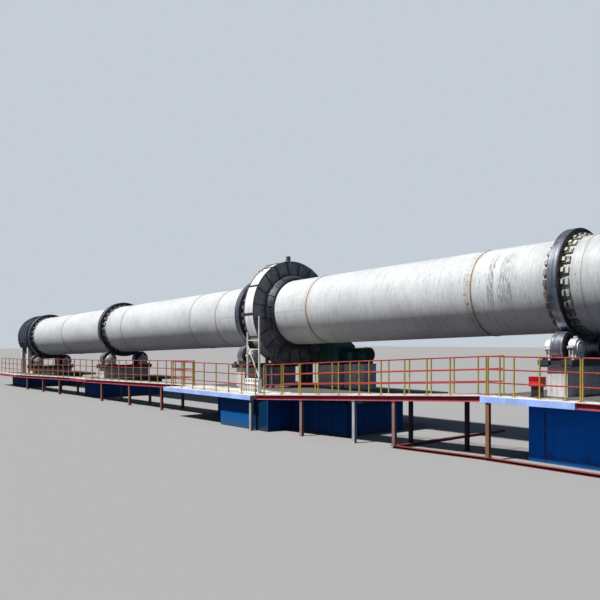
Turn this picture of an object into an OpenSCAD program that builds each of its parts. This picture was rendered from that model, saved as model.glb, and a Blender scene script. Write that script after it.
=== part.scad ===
/* [Kiln shell] */
// Height of the kiln axis above the ground, at the origin
axis_h = 2429; // [2200:1:2700]
// Fall of the kiln towards its discharge end, in degrees
tilt = 1.81; // [1.2:0.01:2.2]
// Outside diameter of the shell
shell_d = 1500; // [1450:1:1510]
// Plate thickness of the shell
shell_wall = 15; // [10:0.5:30]
// Thickness of the brick lining
lining_t = 100; // [60:1:150]
// Discharge end of the shell, measured along the axis from the origin
shell_from = -15800; // [-15950:1:-15700]
// Feed end of the shell, measured along the axis from the origin
shell_to = 10700; // [10620:1:11000]
// Height of a weld bead over the shell
weld_h = 3; // [2:0.5:6]
// Width of a weld bead
weld_w = 12; // [8:1:20]

/* [Tyres] */
// Place of the first tyre, at the discharge end
tyre_1_at = -14250; // [-14300:1:-14200]
// Place of the second tyre
tyre_2_at = -7700; // [-7800:1:-7600]
// Place of the third tyre, beside the girth gear
tyre_3_at = 35; // [10:1:60]
// Place of the fourth tyre
tyre_4_at = 8145; // [8100:1:8200]
// Thickness of a tyre from its bore to its running face
tyre_t = 109.4; // [80:0.2:124]
// Width of a tyre
tyre_w = 168; // [140:1:190]
// Edge chamfer of a tyre
tyre_edge = 10; // [4:1:20]
// Number of pads under each tyre
pad_n = 28; // [16:1:32]
// Thickness of a pad
pad_t = 35; // [20:1:45]
// Width of a pad round the shell
pad_w = 96; // [60:1:120]
// Length of a pad that shows beside the tyre
pad_out = 120; // [60:1:140]

/* [Support rollers] */
// Diameter of a support roller
roller_d = 500; // [440:1:540]
// Width of a support roller
roller_w = 196; // [170:1:220]
// Angle of a roller from straight below the axis
roller_angle = 30; // [28:0.5:32]
// Diameter of a roller shaft
shaft_d = 110; // [80:1:130]
// Gap between a tyre and its rollers
roll_gap = 0.4; // [0.3:0.05:0.6]
// Length of a bearing housing along its shaft
bearing_len = 130; // [100:1:150]
// Radius of a bearing housing
bearing_r = 138; // [110:1:160]
// Height of a bearing centre above its base frame
bearing_h = 185; // [165:1:200]
// Gap between a roller and its bearing housings
bearing_gap = 26; // [10:1:40]
// Thickness of the foot of a bearing housing
foot_t = 34; // [20:1:50]
// Half length of a base frame across the kiln
frame_half = 860; // [800:1:900]
// Thickness of the base frame plate
frame_plate = 28; // [20:1:40]
// Height of a base frame girder above its plate
frame_rise = 72; // [71:1:90]

/* [Girth gear and drive] */
// Middle of the girth gear, measured along the axis from the origin
gear_at = 950; // [940:1:960]
// Gear module
gear_m = 18; // [17.9:0.05:18.1]
// Teeth on the girth gear
gear_z = 120; // [120:4:124]
// Teeth on the pinion
pinion_z = 20; // [20:1:21]
// Face width of the girth gear
gear_w = 180; // [140:1:220]
// Rim depth under the teeth
gear_rim = 72; // [50:1:90]
// Number of spring plates that carry the gear
plate_n = 12; // [8:1:16]
// Thickness of a spring plate
plate_t = 12; // [8:1:16]
// Backlash of the teeth, measured round the pitch circle
backlash = 1.6; // [1:0.1:2.5]
// Angle of the pinion below level, on the far side
pinion_angle = 50; // [47:0.5:52]
// Face width of the pinion
pinion_w = 200; // [160:1:230]
// Distance from the gear to each pinion bearing
pinion_span = 345; // [335:1:355]
// Radius of a pinion bearing housing
pinion_bearing_r = 105; // [90:1:120]
// Length of the gearbox along the kiln
gearbox_len = 620; // [500:1:660]
// Width of the gearbox across the kiln
gearbox_w = 560; // [480:1:600]
// Height of the gearbox above its base
gearbox_h = 620; // [520:1:680]
// Length of the drive motor
motor_len = 620; // [500:1:700]
// Diameter of the drive motor
motor_d = 330; // [280:1:360]
// Number of cooling fins round the motor
fin_n = 32; // [16:1:40]
// Thickness of the coupling flange on the pinion shaft
coupling_t = 30; // [16:1:34]

/* [Gear guard] */
// Width of the guard between its flanks
guard_w = 330; // [310:1:350]
// Clearance between the gear teeth and the outside of the guard rim
guard_gap = 102; // [90:1:122]
// Plate thickness of the guard
guard_t = 8; // [6:1:12]
// How far a flank stands out past the rim
guard_lip = 20; // [10:1:30]
// Clearance between the shell and the opening in a flank
guard_eye_gap = 25; // [15:1:30]
// Diameter of a flank's cone where it meets the flat plate
guard_cone_d = 1800; // [1740:1:1860]
// How far a flank's cone stands out along the shell
guard_cone = 180; // [120:1:190]
// Number of radial joint ribs on a flank
guard_rib_n = 20; // [12:1:24]
// Height of a joint rib
guard_rib = 9; // [5:1:14]
// Clearance between the pinion teeth and the outside of the guard
pinion_gap = 42; // [27:1:62]

/* [Piers and platforms] */
// Height of the first platform above the ground
deck_1_h = 500; // [440:1:540]
// Height of the second platform above the ground
deck_2_h = 600; // [560:1:640]
// Height of the third platform above the ground
deck_3_h = 710; // [680:1:740]
// Height of the fourth platform above the ground
deck_4_h = 965; // [930:1:1000]
// Thickness of a platform slab
slab_t = 90; // [60:1:100]
// Near edge of the platforms, measured from the kiln's middle
edge_y = 1600; // [1560:1:1650]
// Near edge of the wide third platform
wide_y = 2280; // [2240:1:2320]
// Half width of a pier across the kiln
pier_half = 1100; // [1000:1:1200]
// Half length of a plinth along the kiln
plinth_x = 160; // [130:1:200]
// Half width of a plinth across the kiln
plinth_y = 800; // [760:1:840]

/* [Walkways and railings] */
// Width of the walkway
walk_w = 700; // [640:1:730]
// Outer edge of the last walkway where it leaves the third platform
walk_y = 2135; // [2100:1:2200]
// Thickness of the walkway deck
walk_t = 50; // [40:1:60]
// Height of an edge beam
beam_h = 90; // [70:1:110]
// Width of an edge beam
beam_w = 38; // [30:1:50]
// Wall thickness of an edge beam
beam_t = 5; // [4:0.5:8]
// Width of a steel column
col_w = 60; // [40:1:80]
// Height of a railing
rail_h = 600; // [550:1:650]
// Diameter of a railing tube
rail_d = 22; // [18:1:24]
// Width of a railing post
post_w = 25; // [18:1:32]
// Largest distance between two railing posts
post_gap = 480; // [400:1:600]
// Setback of the railing from the platform edge
rail_in = 185; // [150:1:220]
// Height of a sill channel on the ground
sill_h = 45; // [35:1:60]
// Width of a sill channel
sill_w = 80; // [72:1:100]

/* [Stand and blocks] */
// Middle of the light stand along the kiln
stand_x = 1856; // [1800:1:1900]
// Distance of the stand from the kiln's middle
stand_y = 1750; // [1700:1:1800]
// Half distance between the stand's posts
stand_half = 205; // [150:1:215]
// Length of the stand's tall post
stand_tall = 1320; // [1150:1:1400]
// Length of the stand's short post
stand_short = 990; // [850:1:1100]
// Width of a block
block_w = 100; // [80:1:120]
// Height of a course of blocks
block_h = 98; // [90:1:110]

/* [End cowls] */
// Depth of an end cowl, from its inner edge to its outside
cowl_depth = 117; // [105:1:140]
// Length of an end cowl
cowl_len = 1150; // [1000:1:1180]
// Distance between an end cowl and the tyre beside it
cowl_gap = 155; // [130:1:200]
// Plate thickness of an end cowl
cowl_t = 10; // [8:1:16]
// Gap between an end cowl and the turning shell
cowl_clear = 8; // [6:1:14]

/* [Hidden] */
fit = 0.3;
run_fit = 0.06;
shell_r = shell_d / 2;
tyre_bore_r = shell_r + fit + pad_t + fit;
tyre_r = tyre_bore_r + tyre_t;
tyres = [tyre_1_at, tyre_2_at, tyre_3_at, tyre_4_at];
decks = [deck_1_h, deck_2_h, deck_3_h, deck_4_h];
roller_r = roller_d / 2;
roller_c = tyre_r + roller_r + roll_gap;
roller_y = roller_c * sin(roller_angle);
roller_z = -roller_c * cos(roller_angle);
bearing_x = roller_w / 2 + bearing_gap + bearing_len / 2;
frame_top = roller_z - bearing_h;
frame_low = frame_top - frame_rise - frame_plate;
gear_pitch_r = gear_m * gear_z / 2;
pinion_pitch_r = gear_m * pinion_z / 2;
pinion_c = gear_pitch_r + pinion_pitch_r + 0.6;
pinion_y = pinion_c * cos(pinion_angle);
pinion_z0 = -pinion_c * sin(pinion_angle);
rail_levels = [1 / 3, 2 / 3, 1];
seams = [-11200, -6400, -2350, -1100, 2400, 6600, 8525];
walk_from = 2465;
walk_to = 7375;
slab_1_x = [-15900, -13500];
slab_2_x = [-8400, -7000];
slab_3_x = [-1000, walk_from];
slab_4_x = [walk_to, 8875];
drive_x = [1150, 2800];
block_x = [2800, 4350];
end_x = 10500;
far_y = 1500;
guard_r = gear_pitch_r + gear_m + guard_gap;
pinion_cover_r = pinion_pitch_r + gear_m + pinion_gap;
pier_reach = 600;
pier_1_back = 1250;
pier_3_back = 485;
pier_4_back = 255;
pier_4_reach = 855;
block_y = [-1450, 150];
pier_1_x = [tyre_1_at - pier_1_back, tyre_1_at + pier_reach];
pier_2_x = [tyre_2_at - pier_reach, tyre_2_at + pier_reach];
pier_3_x = [tyre_3_at - pier_3_back, drive_x[0] + 1];
pier_4_x = [tyre_4_at - pier_4_back, tyre_4_at + pier_4_reach];
columns_1 = [-12400, -10800, -9300];
columns_2 = [-6000, -4200, -2400];
columns_4 = [9400, 10400];
corner_x = 7460;
outer_columns = [3640, 4900];
inner_columns = [5610, 6700];
sill_x = 5750;
walk_posts = [2975, 3485, 3940, 4435, 4910, 5385, 5870, 6305, 6735];
deck_4_posts = [7595, 7835, 8250, 8645];
blue = [0.04, 0.22, 0.60];
red = [0.62, 0.10, 0.12];
cream = [0.80, 0.77, 0.70];
steel = [0.22, 0.24, 0.27];

function axis_z(x) = axis_h + x * tan(tilt);

// Moves a piece from the kiln's own line into the level frame
module on_axis() { translate([0, 0, axis_h]) rotate([0, -tilt, 0]) children(); }

// A profile drawn in the plane across the kiln, pulled along it
module along(len) { rotate([90, 0, 90]) linear_extrude(len, center = true) children(); }

module ring(r_in, r_out, len) {
    rotate([0, 90, 0]) difference() {
        cylinder(r = r_out, h = len, center = true, $fn = 96);
        cylinder(r = r_in, h = len + 2, center = true, $fn = 96);
    }
}

module box(x, y, z) { translate([x[0], y[0], z[0]]) cube([x[1] - x[0], y[1] - y[0], z[1] - z[0]]); }

module shell() {
    color([0.72, 0.72, 0.70]) on_axis() union() {
        translate([(shell_from + shell_to) / 2, 0, 0])
            ring(shell_r - shell_wall, shell_r, shell_to - shell_from);
        for (s = seams) translate([s, 0, 0]) ring(shell_r - 1, shell_r + weld_h, weld_w);
    }
}

module lining() {
    color([0.55, 0.42, 0.33]) on_axis() translate([(shell_from + shell_to) / 2, 0, 0])
        ring(shell_r - shell_wall - fit - lining_t, shell_r - shell_wall - fit, shell_to - shell_from - 60);
}

module tyre(at) {
    e = tyre_edge;
    w = tyre_w / 2;
    color(steel) on_axis() translate([at, 0, 0]) rotate([0, 90, 0]) rotate_extrude($fn = 120)
        polygon([[tyre_bore_r, -w + e], [tyre_bore_r + e, -w], [tyre_r - e, -w], [tyre_r, -w + e],
            [tyre_r, w - e], [tyre_r - e, w], [tyre_bore_r + e, w], [tyre_bore_r, w - e]]);
}

module tyre_pads() {
    half = asin(pad_w / 2 / shell_r);
    color([0.78, 0.74, 0.55]) on_axis() for (at = tyres, k = [0:pad_n - 1])
        translate([at, 0, 0]) rotate([k * 360 / pad_n, 0, 0]) rotate([0, 90, 0]) rotate([0, 0, -half])
            rotate_extrude(angle = 2 * half, $fn = 96)
                translate([shell_r + fit, -tyre_w / 2 - pad_out]) square([pad_t, tyre_w + 2 * pad_out]);
}

// Involute function of the pressure angle at radius r
function inv(a) = tan(a) * 180 / PI - a;
function flank_a(r, rp, z) = let (rb = rp * cos(20), a = r > rb ? acos(rb / r) : 0)
    90 / z - backlash / 4 / rp * 180 / PI + inv(20) - inv(a);
function tooth(rp, z, m) = let (steps = [-1.25, -0.55, 0, 0.5, 1])
    [for (i = [0:2 * len(steps) - 1]) let (j = i < len(steps) ? i : 2 * len(steps) - 1 - i,
        r = rp + steps[j] * m, a = flank_a(r, rp, z) * (i < len(steps) ? -1 : 1)) [r, a]];
function teeth(rp, z, m, turn) = [for (k = [0:z - 1], p = tooth(rp, z, m))
    let (a = turn + k * 360 / z + p[1]) [p[0] * cos(a), p[0] * sin(a)]];

module girth_gear() {
    color([0.20, 0.20, 0.21]) on_axis() translate([gear_at, 0, 0]) along(gear_w) difference() {
        polygon(teeth(gear_pitch_r, gear_z, gear_m, -pinion_angle));
        circle(r = gear_pitch_r - 1.25 * gear_m - gear_rim, $fn = 96);
    }
}

// Spring plates run as tangents from the shell to the gear rim
module gear_plates() {
    rim_r = gear_pitch_r - 1.25 * gear_m - gear_rim - fit;
    in_r = shell_r + fit;
    reach = sqrt(pow(rim_r, 2) - pow(in_r + plate_t, 2));
    color([0.30, 0.28, 0.27]) on_axis() translate([gear_at, 0, 0]) for (k = [0:plate_n - 1])
        rotate([k * 360 / plate_n, 0, 0]) intersection() {
            along(gear_w * 0.7) translate([0, in_r]) square([reach + 40, plate_t]);
            rotate([0, 90, 0]) cylinder(r = rim_r, h = gear_w, center = true, $fn = 96);
        }
}

module roller(i, side) {
    color([0.50, 0.52, 0.55]) on_axis() translate([tyres[i], side * roller_y, roller_z]) rotate([0, 90, 0])
        rotate_extrude($fn = 96) polygon([[0, -bearing_x - bearing_len / 2],
            [shaft_d / 2, -bearing_x - bearing_len / 2], [shaft_d / 2, -roller_w / 2 - 8],
            [shaft_d / 2 + 30, -roller_w / 2 - 8], [shaft_d / 2 + 30, -roller_w / 2 + 24],
            [roller_r - 45, -roller_w / 2 + 24], [roller_r - 45, -roller_w / 2],
            [roller_r - 6, -roller_w / 2],
            [roller_r, -roller_w / 2 + 6], [roller_r, roller_w / 2 - 6], [roller_r - 6, roller_w / 2],
            [roller_r - 45, roller_w / 2], [roller_r - 45, roller_w / 2 - 24],
            [shaft_d / 2 + 30, roller_w / 2 - 24],
            [shaft_d / 2 + 30, roller_w / 2 + 8], [shaft_d / 2, roller_w / 2 + 8],
            [shaft_d / 2, bearing_x + bearing_len / 2], [0, bearing_x + bearing_len / 2]]);
}

// One bearing housing with its foot, cap and bore, centred on the shaft
module bearing(r, len, bore_r, h) {
    difference() {
        union() {
            along(len) union() {
                circle(r = r, $fn = 64);
                translate([-r * 0.86, -h]) square([r * 1.72, h]);
                translate([-r * 1.35, -h]) square([r * 2.7, foot_t]);
                translate([-r * 1.22, -foot_t / 2]) square([r * 2.44, foot_t]);
            }
            translate([0, 0, r - 6]) cylinder(r = r * 0.24, h = r * 0.3, $fn = 32);
            ring(bore_r, r * 0.72, len + 20);
        }
        rotate([0, 90, 0]) cylinder(r = bore_r, h = len + 40, center = true, $fn = 64);
    }
}

module roller_bearings() {
    color([0.80, 0.81, 0.80]) on_axis() for (t = tyres, side = [-1, 1], e = [-1, 1])
        translate([t + e * bearing_x, side * roller_y, roller_z])
            bearing(bearing_r, bearing_len - 20, shaft_d / 2 + run_fit, bearing_h);
}

module roller_frames() {
    gx = bearing_x + bearing_len / 2 + 12;
    color([0.30, 0.31, 0.33]) on_axis() for (t = tyres) union() {
        box([t - gx, t + gx], [-frame_half, frame_half], [frame_low, frame_low + frame_plate]);
        for (e = [-1, 1]) translate([t + e * bearing_x, 0, frame_low + frame_plate + frame_rise / 2 - 1])
            cube([bearing_len + 24, 2 * frame_half, frame_rise + 2], center = true);
    }
}

module roller_plinths() {
    color([0.42, 0.42, 0.41]) for (i = [0:3]) {
        x = tyres[i] - frame_low * sin(tilt);
        difference() {
            box([x - plinth_x, x + plinth_x], [-plinth_y, plinth_y], [decks[i], axis_z(x) + frame_low + 60]);
            on_axis() box([tyres[i] - 3 * plinth_x, tyres[i] + 3 * plinth_x], [-2 * plinth_y, 2 * plinth_y],
                [frame_low, 0]);
        }
    }
}

module pier(x, y, top) { color(blue) box(x, y, [0, top - slab_t]); }
module pier_1() { pier(pier_1_x, [-pier_half, pier_half], deck_1_h); }
module pier_2() { pier(pier_2_x, [-pier_half, pier_half], deck_2_h); }
module pier_3() {
    top = deck_3_h - slab_t;
    color(blue) union() {
        box(pier_3_x, [-pier_half, pier_half], [0, top]);
        box(drive_x, [-wide_y + 180, far_y - 100], [0, top]);
        box([block_x[0] - 1, block_x[1]], block_y, [0, top]);
    }
}
module pier_4() { pier(pier_4_x, [-pier_half, pier_half], deck_4_h); }

// The last walkway runs askew, from the wide third platform to the narrower fourth
skew_a = atan2(walk_y - edge_y, walk_to - walk_from);
function skew_y(x) = -walk_y + (x - walk_from) * tan(skew_a);

module platform_slabs() {
    inner = walk_w / cos(skew_a) + fit;
    x_to = block_x[1] + 100;
    color(cream) {
        box(slab_1_x, [-edge_y, edge_y], [deck_1_h - slab_t, deck_1_h]);
        box(slab_2_x, [-edge_y, edge_y], [deck_2_h - slab_t, deck_2_h]);
        translate([0, 0, deck_3_h - slab_t]) linear_extrude(slab_t)
            polygon([[slab_3_x[0], -wide_y], [walk_from, -wide_y], [walk_from, skew_y(walk_from) + inner],
                [x_to, skew_y(x_to) + inner], [x_to, far_y], [slab_3_x[0], far_y]]);
        box(slab_4_x, [-edge_y, edge_y], [deck_4_h - slab_t, deck_4_h]);
    }
}

// A sloping strip between two platforms, from x[0] at height z[0] to x[1] at height z[1]
module strip(x, y, z, low, high) {
    translate([0, y[1], 0]) rotate([90, 0, 0]) linear_extrude(y[1] - y[0])
        polygon([[x[0], z[0] + low], [x[1], z[1] + low], [x[1], z[1] + high], [x[0], z[0] + high]]);
}

spans = [[[slab_1_x[1] + fit, slab_2_x[0] - fit], [deck_1_h, deck_2_h]],
    [[slab_2_x[1] + fit, slab_3_x[0] - fit], [deck_2_h, deck_3_h]],
    [[slab_4_x[1] + fit, end_x], [deck_4_h, deck_4_h]]];
skew_len = (walk_to - walk_from) / cos(skew_a);

// Puts a piece that starts at the origin on the last walkway's outer edge, cut to the gap it fills
module on_skew() {
    intersection() {
        translate([walk_from, -walk_y, 0]) rotate([0, 0, skew_a]) children();
        box([walk_from + fit, walk_to - fit], [-wide_y, 0], [0, 2 * deck_4_h]);
    }
}
skew_x = [-200, skew_len + 200];
skew_rise = (deck_4_h - deck_3_h) / skew_len;
skew_z = [deck_3_h - 200 * skew_rise, deck_4_h + 200 * skew_rise];

module walkway_decks() {
    color(cream) {
        for (s = spans) strip(s[0], [-edge_y + beam_w + fit, -edge_y + walk_w], s[1], -walk_t, 0);
        on_skew() strip(skew_x, [beam_w + fit, walk_w], skew_z, -walk_t, 0);
    }
}

// A channel with its flanges turned outwards
module channel(x, y0, z) {
    difference() {
        strip(x, [y0, y0 + beam_w], z, -beam_h, 0);
        strip([x[0] - 10, x[1] + 10], [y0 - 1, y0 + beam_w - beam_t], z, -beam_h + beam_t, -beam_t);
    }
}

module edge_beams() {
    color(red) {
        for (s = spans) channel(s[0], -edge_y, s[1]);
        on_skew() channel(skew_x, 0, skew_z);
    }
}

// Columns stand under the edge beam and under the inner side of the deck
function span_z(s, x) = s[1][0] + (s[1][1] - s[1][0]) * (x - s[0][0]) / (s[0][1] - s[0][0]);
function skew_h(x, y) = deck_3_h + ((x - walk_from) * cos(skew_a) + (y + walk_y) * sin(skew_a)) * skew_rise;
module column(x, y, top, low = 0) { box([x, x + col_w], [y, y + col_w], [low, top - fit]); }
module column_pair(s, x, low = 0) {
    z = min(span_z(s, x), span_z(s, x + col_w));
    column(x, -edge_y + 10, z - beam_h, low);
    column(x, -edge_y + walk_w - col_w, z - walk_t);
}
module outer_column(x, low = 0) { column(x, skew_y(x) + 12, skew_h(x, skew_y(x) + 12) - beam_h, low); }
module inner_column(x) {
    y = skew_y(x) + walk_w - 80;
    column(x, y, skew_h(x, y) - walk_t);
}
module walkway_columns() {
    on_sill = sill_h + fit;
    color(red) {
        for (x = columns_1) column_pair(spans[0], x);
        for (x = columns_2) column_pair(spans[1], x);
        for (x = columns_4) column_pair(spans[2], x, on_sill);
        for (x = outer_columns) outer_column(x);
        for (x = inner_columns) inner_column(x);
        outer_column(sill_x, on_sill);
        column(walk_from - col_w - 20, -wide_y + 30, deck_3_h - slab_t);
        column(corner_x, -edge_y + 10, deck_4_h - slab_t, on_sill);
        column(corner_x, edge_y - 20 - col_w, deck_4_h - slab_t);
    }
}

// Channels on the ground: one along under the walkway's outer edge and one across below the kiln
module sill(len) {
    difference() {
        cube([len, sill_w, sill_h]);
        translate([-1, -1, beam_t]) cube([len + 2, sill_w - beam_t + 1, sill_h - 2 * beam_t]);
    }
}
module ground_sills() {
    turn_x = walk_to + 40;
    color(red) {
        translate([sill_x - 20, skew_y(sill_x - 20), 0]) rotate([0, 0, skew_a])
            sill((turn_x - sill_x + 20) / cos(skew_a) - fit);
        translate([turn_x, -edge_y, 0]) sill(end_x - turn_x);
        translate([sill_x, far_y, 0]) rotate([0, 0, -90])
            sill(far_y - skew_y(sill_x + sill_w) - sill_w / cos(skew_a) - fit);
    }
}

// A straight railing from a to b, each a point on the deck, with posts at the given places or evenly
module railing(a, b, posts = []) {
    run = norm([b[0] - a[0], b[1] - a[1]]);
    turn = atan2(b[1] - a[1], b[0] - a[0]);
    rise = atan2(b[2] - a[2], run);
    n = ceil(run / post_gap);
    between = len(posts) > 0 ? [for (x = posts) (x - a[0]) / cos(turn) - post_w / 2]
        : [for (k = [1:n - 1]) k * (run - post_w) / n];
    foot = fit + max(0, post_w * tan(rise));
    translate(a) rotate([0, 0, turn]) union() {
        for (d = concat([0], between, [run - post_w])) translate([d, -post_w / 2, d * tan(rise) + foot])
            cube([post_w, post_w, rail_h - rail_d / 4 - foot]);
        for (l = rail_levels) translate([post_w / 2, 0, l * rail_h + post_w / 2 * tan(rise)])
            rotate([0, 90 - rise, 0]) cylinder(d = rail_d, h = (run - post_w) / cos(rise), $fn = 8);
    }
}

rail_y = -edge_y + rail_in;
module railing_1() {
    color(red) {
        railing([slab_1_x[0] + 40, rail_y, deck_1_h], [slab_1_x[1] - 3, rail_y, deck_1_h]);
        railing([slab_1_x[1] + 3, rail_y, deck_1_h], [slab_2_x[0] - 3, rail_y, deck_2_h]);
    }
}
module railing_2() {
    color(red) {
        railing([slab_2_x[0] + 3, rail_y, deck_2_h], [slab_2_x[1] - 3, rail_y, deck_2_h]);
        railing([slab_2_x[1] + 3, rail_y, deck_2_h], [slab_3_x[0] - 3, rail_y, deck_3_h]);
    }
}
module railing_3() {
    y3 = -wide_y + rail_in;
    x = [walk_from + 5, walk_from + 40, walk_to - 3];
    out_y = [skew_y(walk_from) + rail_in, skew_y(walk_to) + rail_in];
    in_y = [skew_y(walk_from) + walk_w - 40, skew_y(walk_to) + walk_w - 40];
    color(red) {
        railing([slab_3_x[0] + 40, y3, deck_3_h], [walk_from - 60, y3, deck_3_h]);
        railing([slab_3_x[0] + 40, y3 + 40, deck_3_h], [slab_3_x[0] + 40, rail_y - 40, deck_3_h]);
        railing([x[0], out_y[0], skew_h(x[0], out_y[0])], [x[2], out_y[1], skew_h(x[2], out_y[1])],
            walk_posts);
        railing([x[1], in_y[0], skew_h(x[1], in_y[0])], [x[2], in_y[1], skew_h(x[2], in_y[1])]);
    }
}
module railing_4() {
    color(red) {
        railing([walk_to + 3, rail_y, deck_4_h], [slab_4_x[1] - 3, rail_y, deck_4_h], deck_4_posts);
        railing([slab_4_x[1] + 3, rail_y, deck_4_h], [end_x - 40, rail_y, deck_4_h]);
        railing([walk_to + 40, edge_y - 60, deck_4_h], [slab_4_x[1] - 40, edge_y - 60, deck_4_h]);
    }
}

// Outline of the gear guard, with the round bulge over the pinion
module guard_outline(grow) {
    circle(r = guard_r + grow, $fn = 120);
    translate([pinion_y, pinion_z0]) circle(r = pinion_cover_r + grow, $fn = 64);
}

module guard_rim() {
    leg = 60;
    leg_y = [-620, 470];
    color([0.85, 0.85, 0.83]) union() {
        on_axis() translate([gear_at, 0, 0]) {
            along(guard_w) difference() {
                guard_outline(0);
                guard_outline(-guard_t);
            }
            translate([0, 0, guard_r - 3]) cylinder(r = 14, h = 60, $fn = 24);
            translate([0, 0, guard_r + 50]) cylinder(r = 52, h = 95, $fn = 32);
        }
        for (x = [-1, 1], y = leg_y)
            translate([gear_at + x * (guard_w / 2 - leg) - leg / 2 + 30, y - leg / 2, deck_3_h + fit])
                cube([leg, leg, axis_z(gear_at) - sqrt(pow(guard_r, 2) - pow(y, 2)) + 12 - deck_3_h - fit]);
    }
}

// A flank is a flat plate whose inner part runs out along the shell as a cone with a lip
module guard_flank(side) {
    eye = shell_r + guard_eye_gap;
    cone_r = guard_cone_d / 2;
    t = guard_t;
    color([0.24, 0.25, 0.28]) on_axis() translate([gear_at + side * (guard_w / 2 + fit), 0, 0]) union() {
        translate([side * t / 2, 0, 0]) difference() {
            along(t) guard_outline(guard_lip);
            rotate([0, 90, 0]) cylinder(r = cone_r - 2, h = 3 * t, center = true, $fn = 120);
            translate([0, pinion_y, pinion_z0]) rotate([0, 90, 0])
                cylinder(d = shaft_d + 20, h = 3 * t, center = true, $fn = 48);
        }
        for (k = [0:guard_rib_n - 1]) rotate([(k + 0.5) * 360 / guard_rib_n, 0, 0])
            translate([side * (t + guard_rib / 2 - 1), 0, (cone_r + guard_r) / 2 + 4])
                cube([guard_rib + 2, 16, guard_r - cone_r - 16], center = true);
        rotate([0, side * 90, 0]) rotate_extrude($fn = 120)
            polygon([[cone_r - t, 0], [cone_r, 0], [cone_r, t], [eye + t, guard_cone - t],
                [eye + 2 * t, guard_cone - t], [eye + 2 * t, guard_cone], [eye, guard_cone],
                [eye, guard_cone - t]]);
    }
}

module pinion() {
    shaft_to = pinion_span + 90;
    color([0.25, 0.25, 0.26]) on_axis() translate([gear_at, pinion_y, pinion_z0]) union() {
        along(pinion_w) polygon(teeth(pinion_pitch_r, pinion_z, gear_m, 180 - pinion_angle + 180 / pinion_z));
        rotate([0, 90, 0]) translate([0, 0, -pinion_span - 60])
            cylinder(d = shaft_d, h = pinion_span + 60 + shaft_to, $fn = 64);
        rotate([0, 90, 0]) translate([0, 0, shaft_to - coupling_t])
            cylinder(d = coupling_d, h = coupling_t, $fn = 64);
    }
}

module pinion_bearings() {
    foot_h = 160;
    color([0.30, 0.32, 0.30]) for (e = [-1, 1]) {
        at = gear_at + e * pinion_span;
        top = axis_z(at) + pinion_z0 - foot_h;
        x = at - pinion_z0 * sin(tilt);
        union() {
            on_axis() translate([at, pinion_y, pinion_z0])
                bearing(pinion_bearing_r, 90, shaft_d / 2 + run_fit, foot_h + 8);
            box([x - 60, x + 60], [pinion_y - 170, pinion_y + 170], [deck_3_h + fit, top + 4]);
        }
    }
}

gearbox_low = -0.45 * gearbox_h;
coupling_d = shaft_d * 1.8;
gearbox_x = gear_at + pinion_span + 90 + fit;
case_x = gearbox_x + 34;
motor_x = case_x + gearbox_len + 120;
motor_z = -60;
motor_low = motor_z - motor_d * 0.62;

// Moves a piece of the drive onto the pinion's line
module on_pinion_line() { on_axis() translate([0, pinion_y, pinion_z0]) children(); }

module gearbox() {
    low = gearbox_low;
    high = low + gearbox_h;
    color([0.05, 0.20, 0.14]) on_pinion_line() union() {
        translate([case_x, gearbox_w / 2, 0]) rotate([90, 0, 0]) linear_extrude(gearbox_w)
            polygon([[0, low], [gearbox_len, low], [gearbox_len, high - gearbox_h * 0.3],
                [gearbox_len * 0.62, high], [gearbox_len * 0.12, high], [0, high - gearbox_h * 0.2]]);
        translate([gearbox_x, 0, 0]) rotate([0, 90, 0]) cylinder(d = coupling_d, h = 36, $fn = 48);
        translate([case_x + gearbox_len / 2, 0, 0])
            cube([gearbox_len + 50, gearbox_w + 50, 30], center = true);
        for (x = [0.14, 0.38, 0.62]) translate([case_x + x * gearbox_len, 0, (low + high) / 2 - 40])
            cube([18, gearbox_w + 36, gearbox_h - 80], center = true);
        translate([case_x - 22, 0, 0]) rotate([0, 90, 0])
            cylinder(d = gearbox_w * 0.55, h = gearbox_len + 44, $fn = 64);
    }
}

module drive_motor() {
    color([0.06, 0.24, 0.16]) on_pinion_line() translate([motor_x, 0, motor_z]) union() {
        rotate([0, 90, 0]) cylinder(d = motor_d - 32, h = motor_len, $fn = 64);
        for (e = [[0, 30], [motor_len - 130, 130]]) translate([e[0], 0, 0]) rotate([0, 90, 0])
            cylinder(d = motor_d, h = e[1], $fn = 64);
        for (k = [0:fin_n - 1]) rotate([(k + 0.5) * 360 / fin_n, 0, 0]) translate([20, -3, motor_d / 2 - 30])
            cube([motor_len - 40, 6, 26]);
        translate([-95 + fit, 0, 0]) rotate([0, 90, 0]) cylinder(d = motor_d * 0.45, h = 100, $fn = 48);
        translate([40, -motor_d * 0.42, -motor_d * 0.62])
            cube([motor_len - 80, motor_d * 0.84, motor_d * 0.3]);
        translate([motor_len * 0.3, -motor_d * 0.7, -40]) cube([150, motor_d * 0.3, 110]);
    }
}

// Concrete bases under the gearbox and the motor, with tops on the slope of the drive
module drive_base() {
    bases = [[case_x, gearbox_len, gearbox_w, gearbox_low], [motor_x, motor_len, motor_d, motor_low]];
    color([0.40, 0.40, 0.39]) for (b = bases) {
        x = b[0] - pinion_z0 * sin(tilt);
        difference() {
            box([x - 20, x + b[1] + 20], [pinion_y - b[2] / 2 - 20, pinion_y + b[2] / 2 + 20],
                [deck_3_h, axis_z(x) + pinion_z0 + b[3] + 100]);
            on_pinion_line() box([b[0] - 200, b[0] + b[1] + 200], [-b[2], b[2]], [b[3] - fit, gearbox_h]);
        }
    }
}

// End cowl: a ring box round the turning shell, with a chamfered outer corner and two saddles
module cowl_ring(len) {
    r = cowl_r;
    in_r = shell_r + cowl_clear;
    cut = 90;
    rotate([0, 90, 0]) rotate_extrude($fn = 120)
        polygon([[in_r, 0], [r - cut, 0], [r, cut], [r, len], [in_r, len], [in_r, len - cowl_t],
            [r - cowl_t, len - cowl_t], [r - cowl_t, cut + 4], [r - cut - 4, cowl_t], [in_r, cowl_t]]);
}

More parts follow.
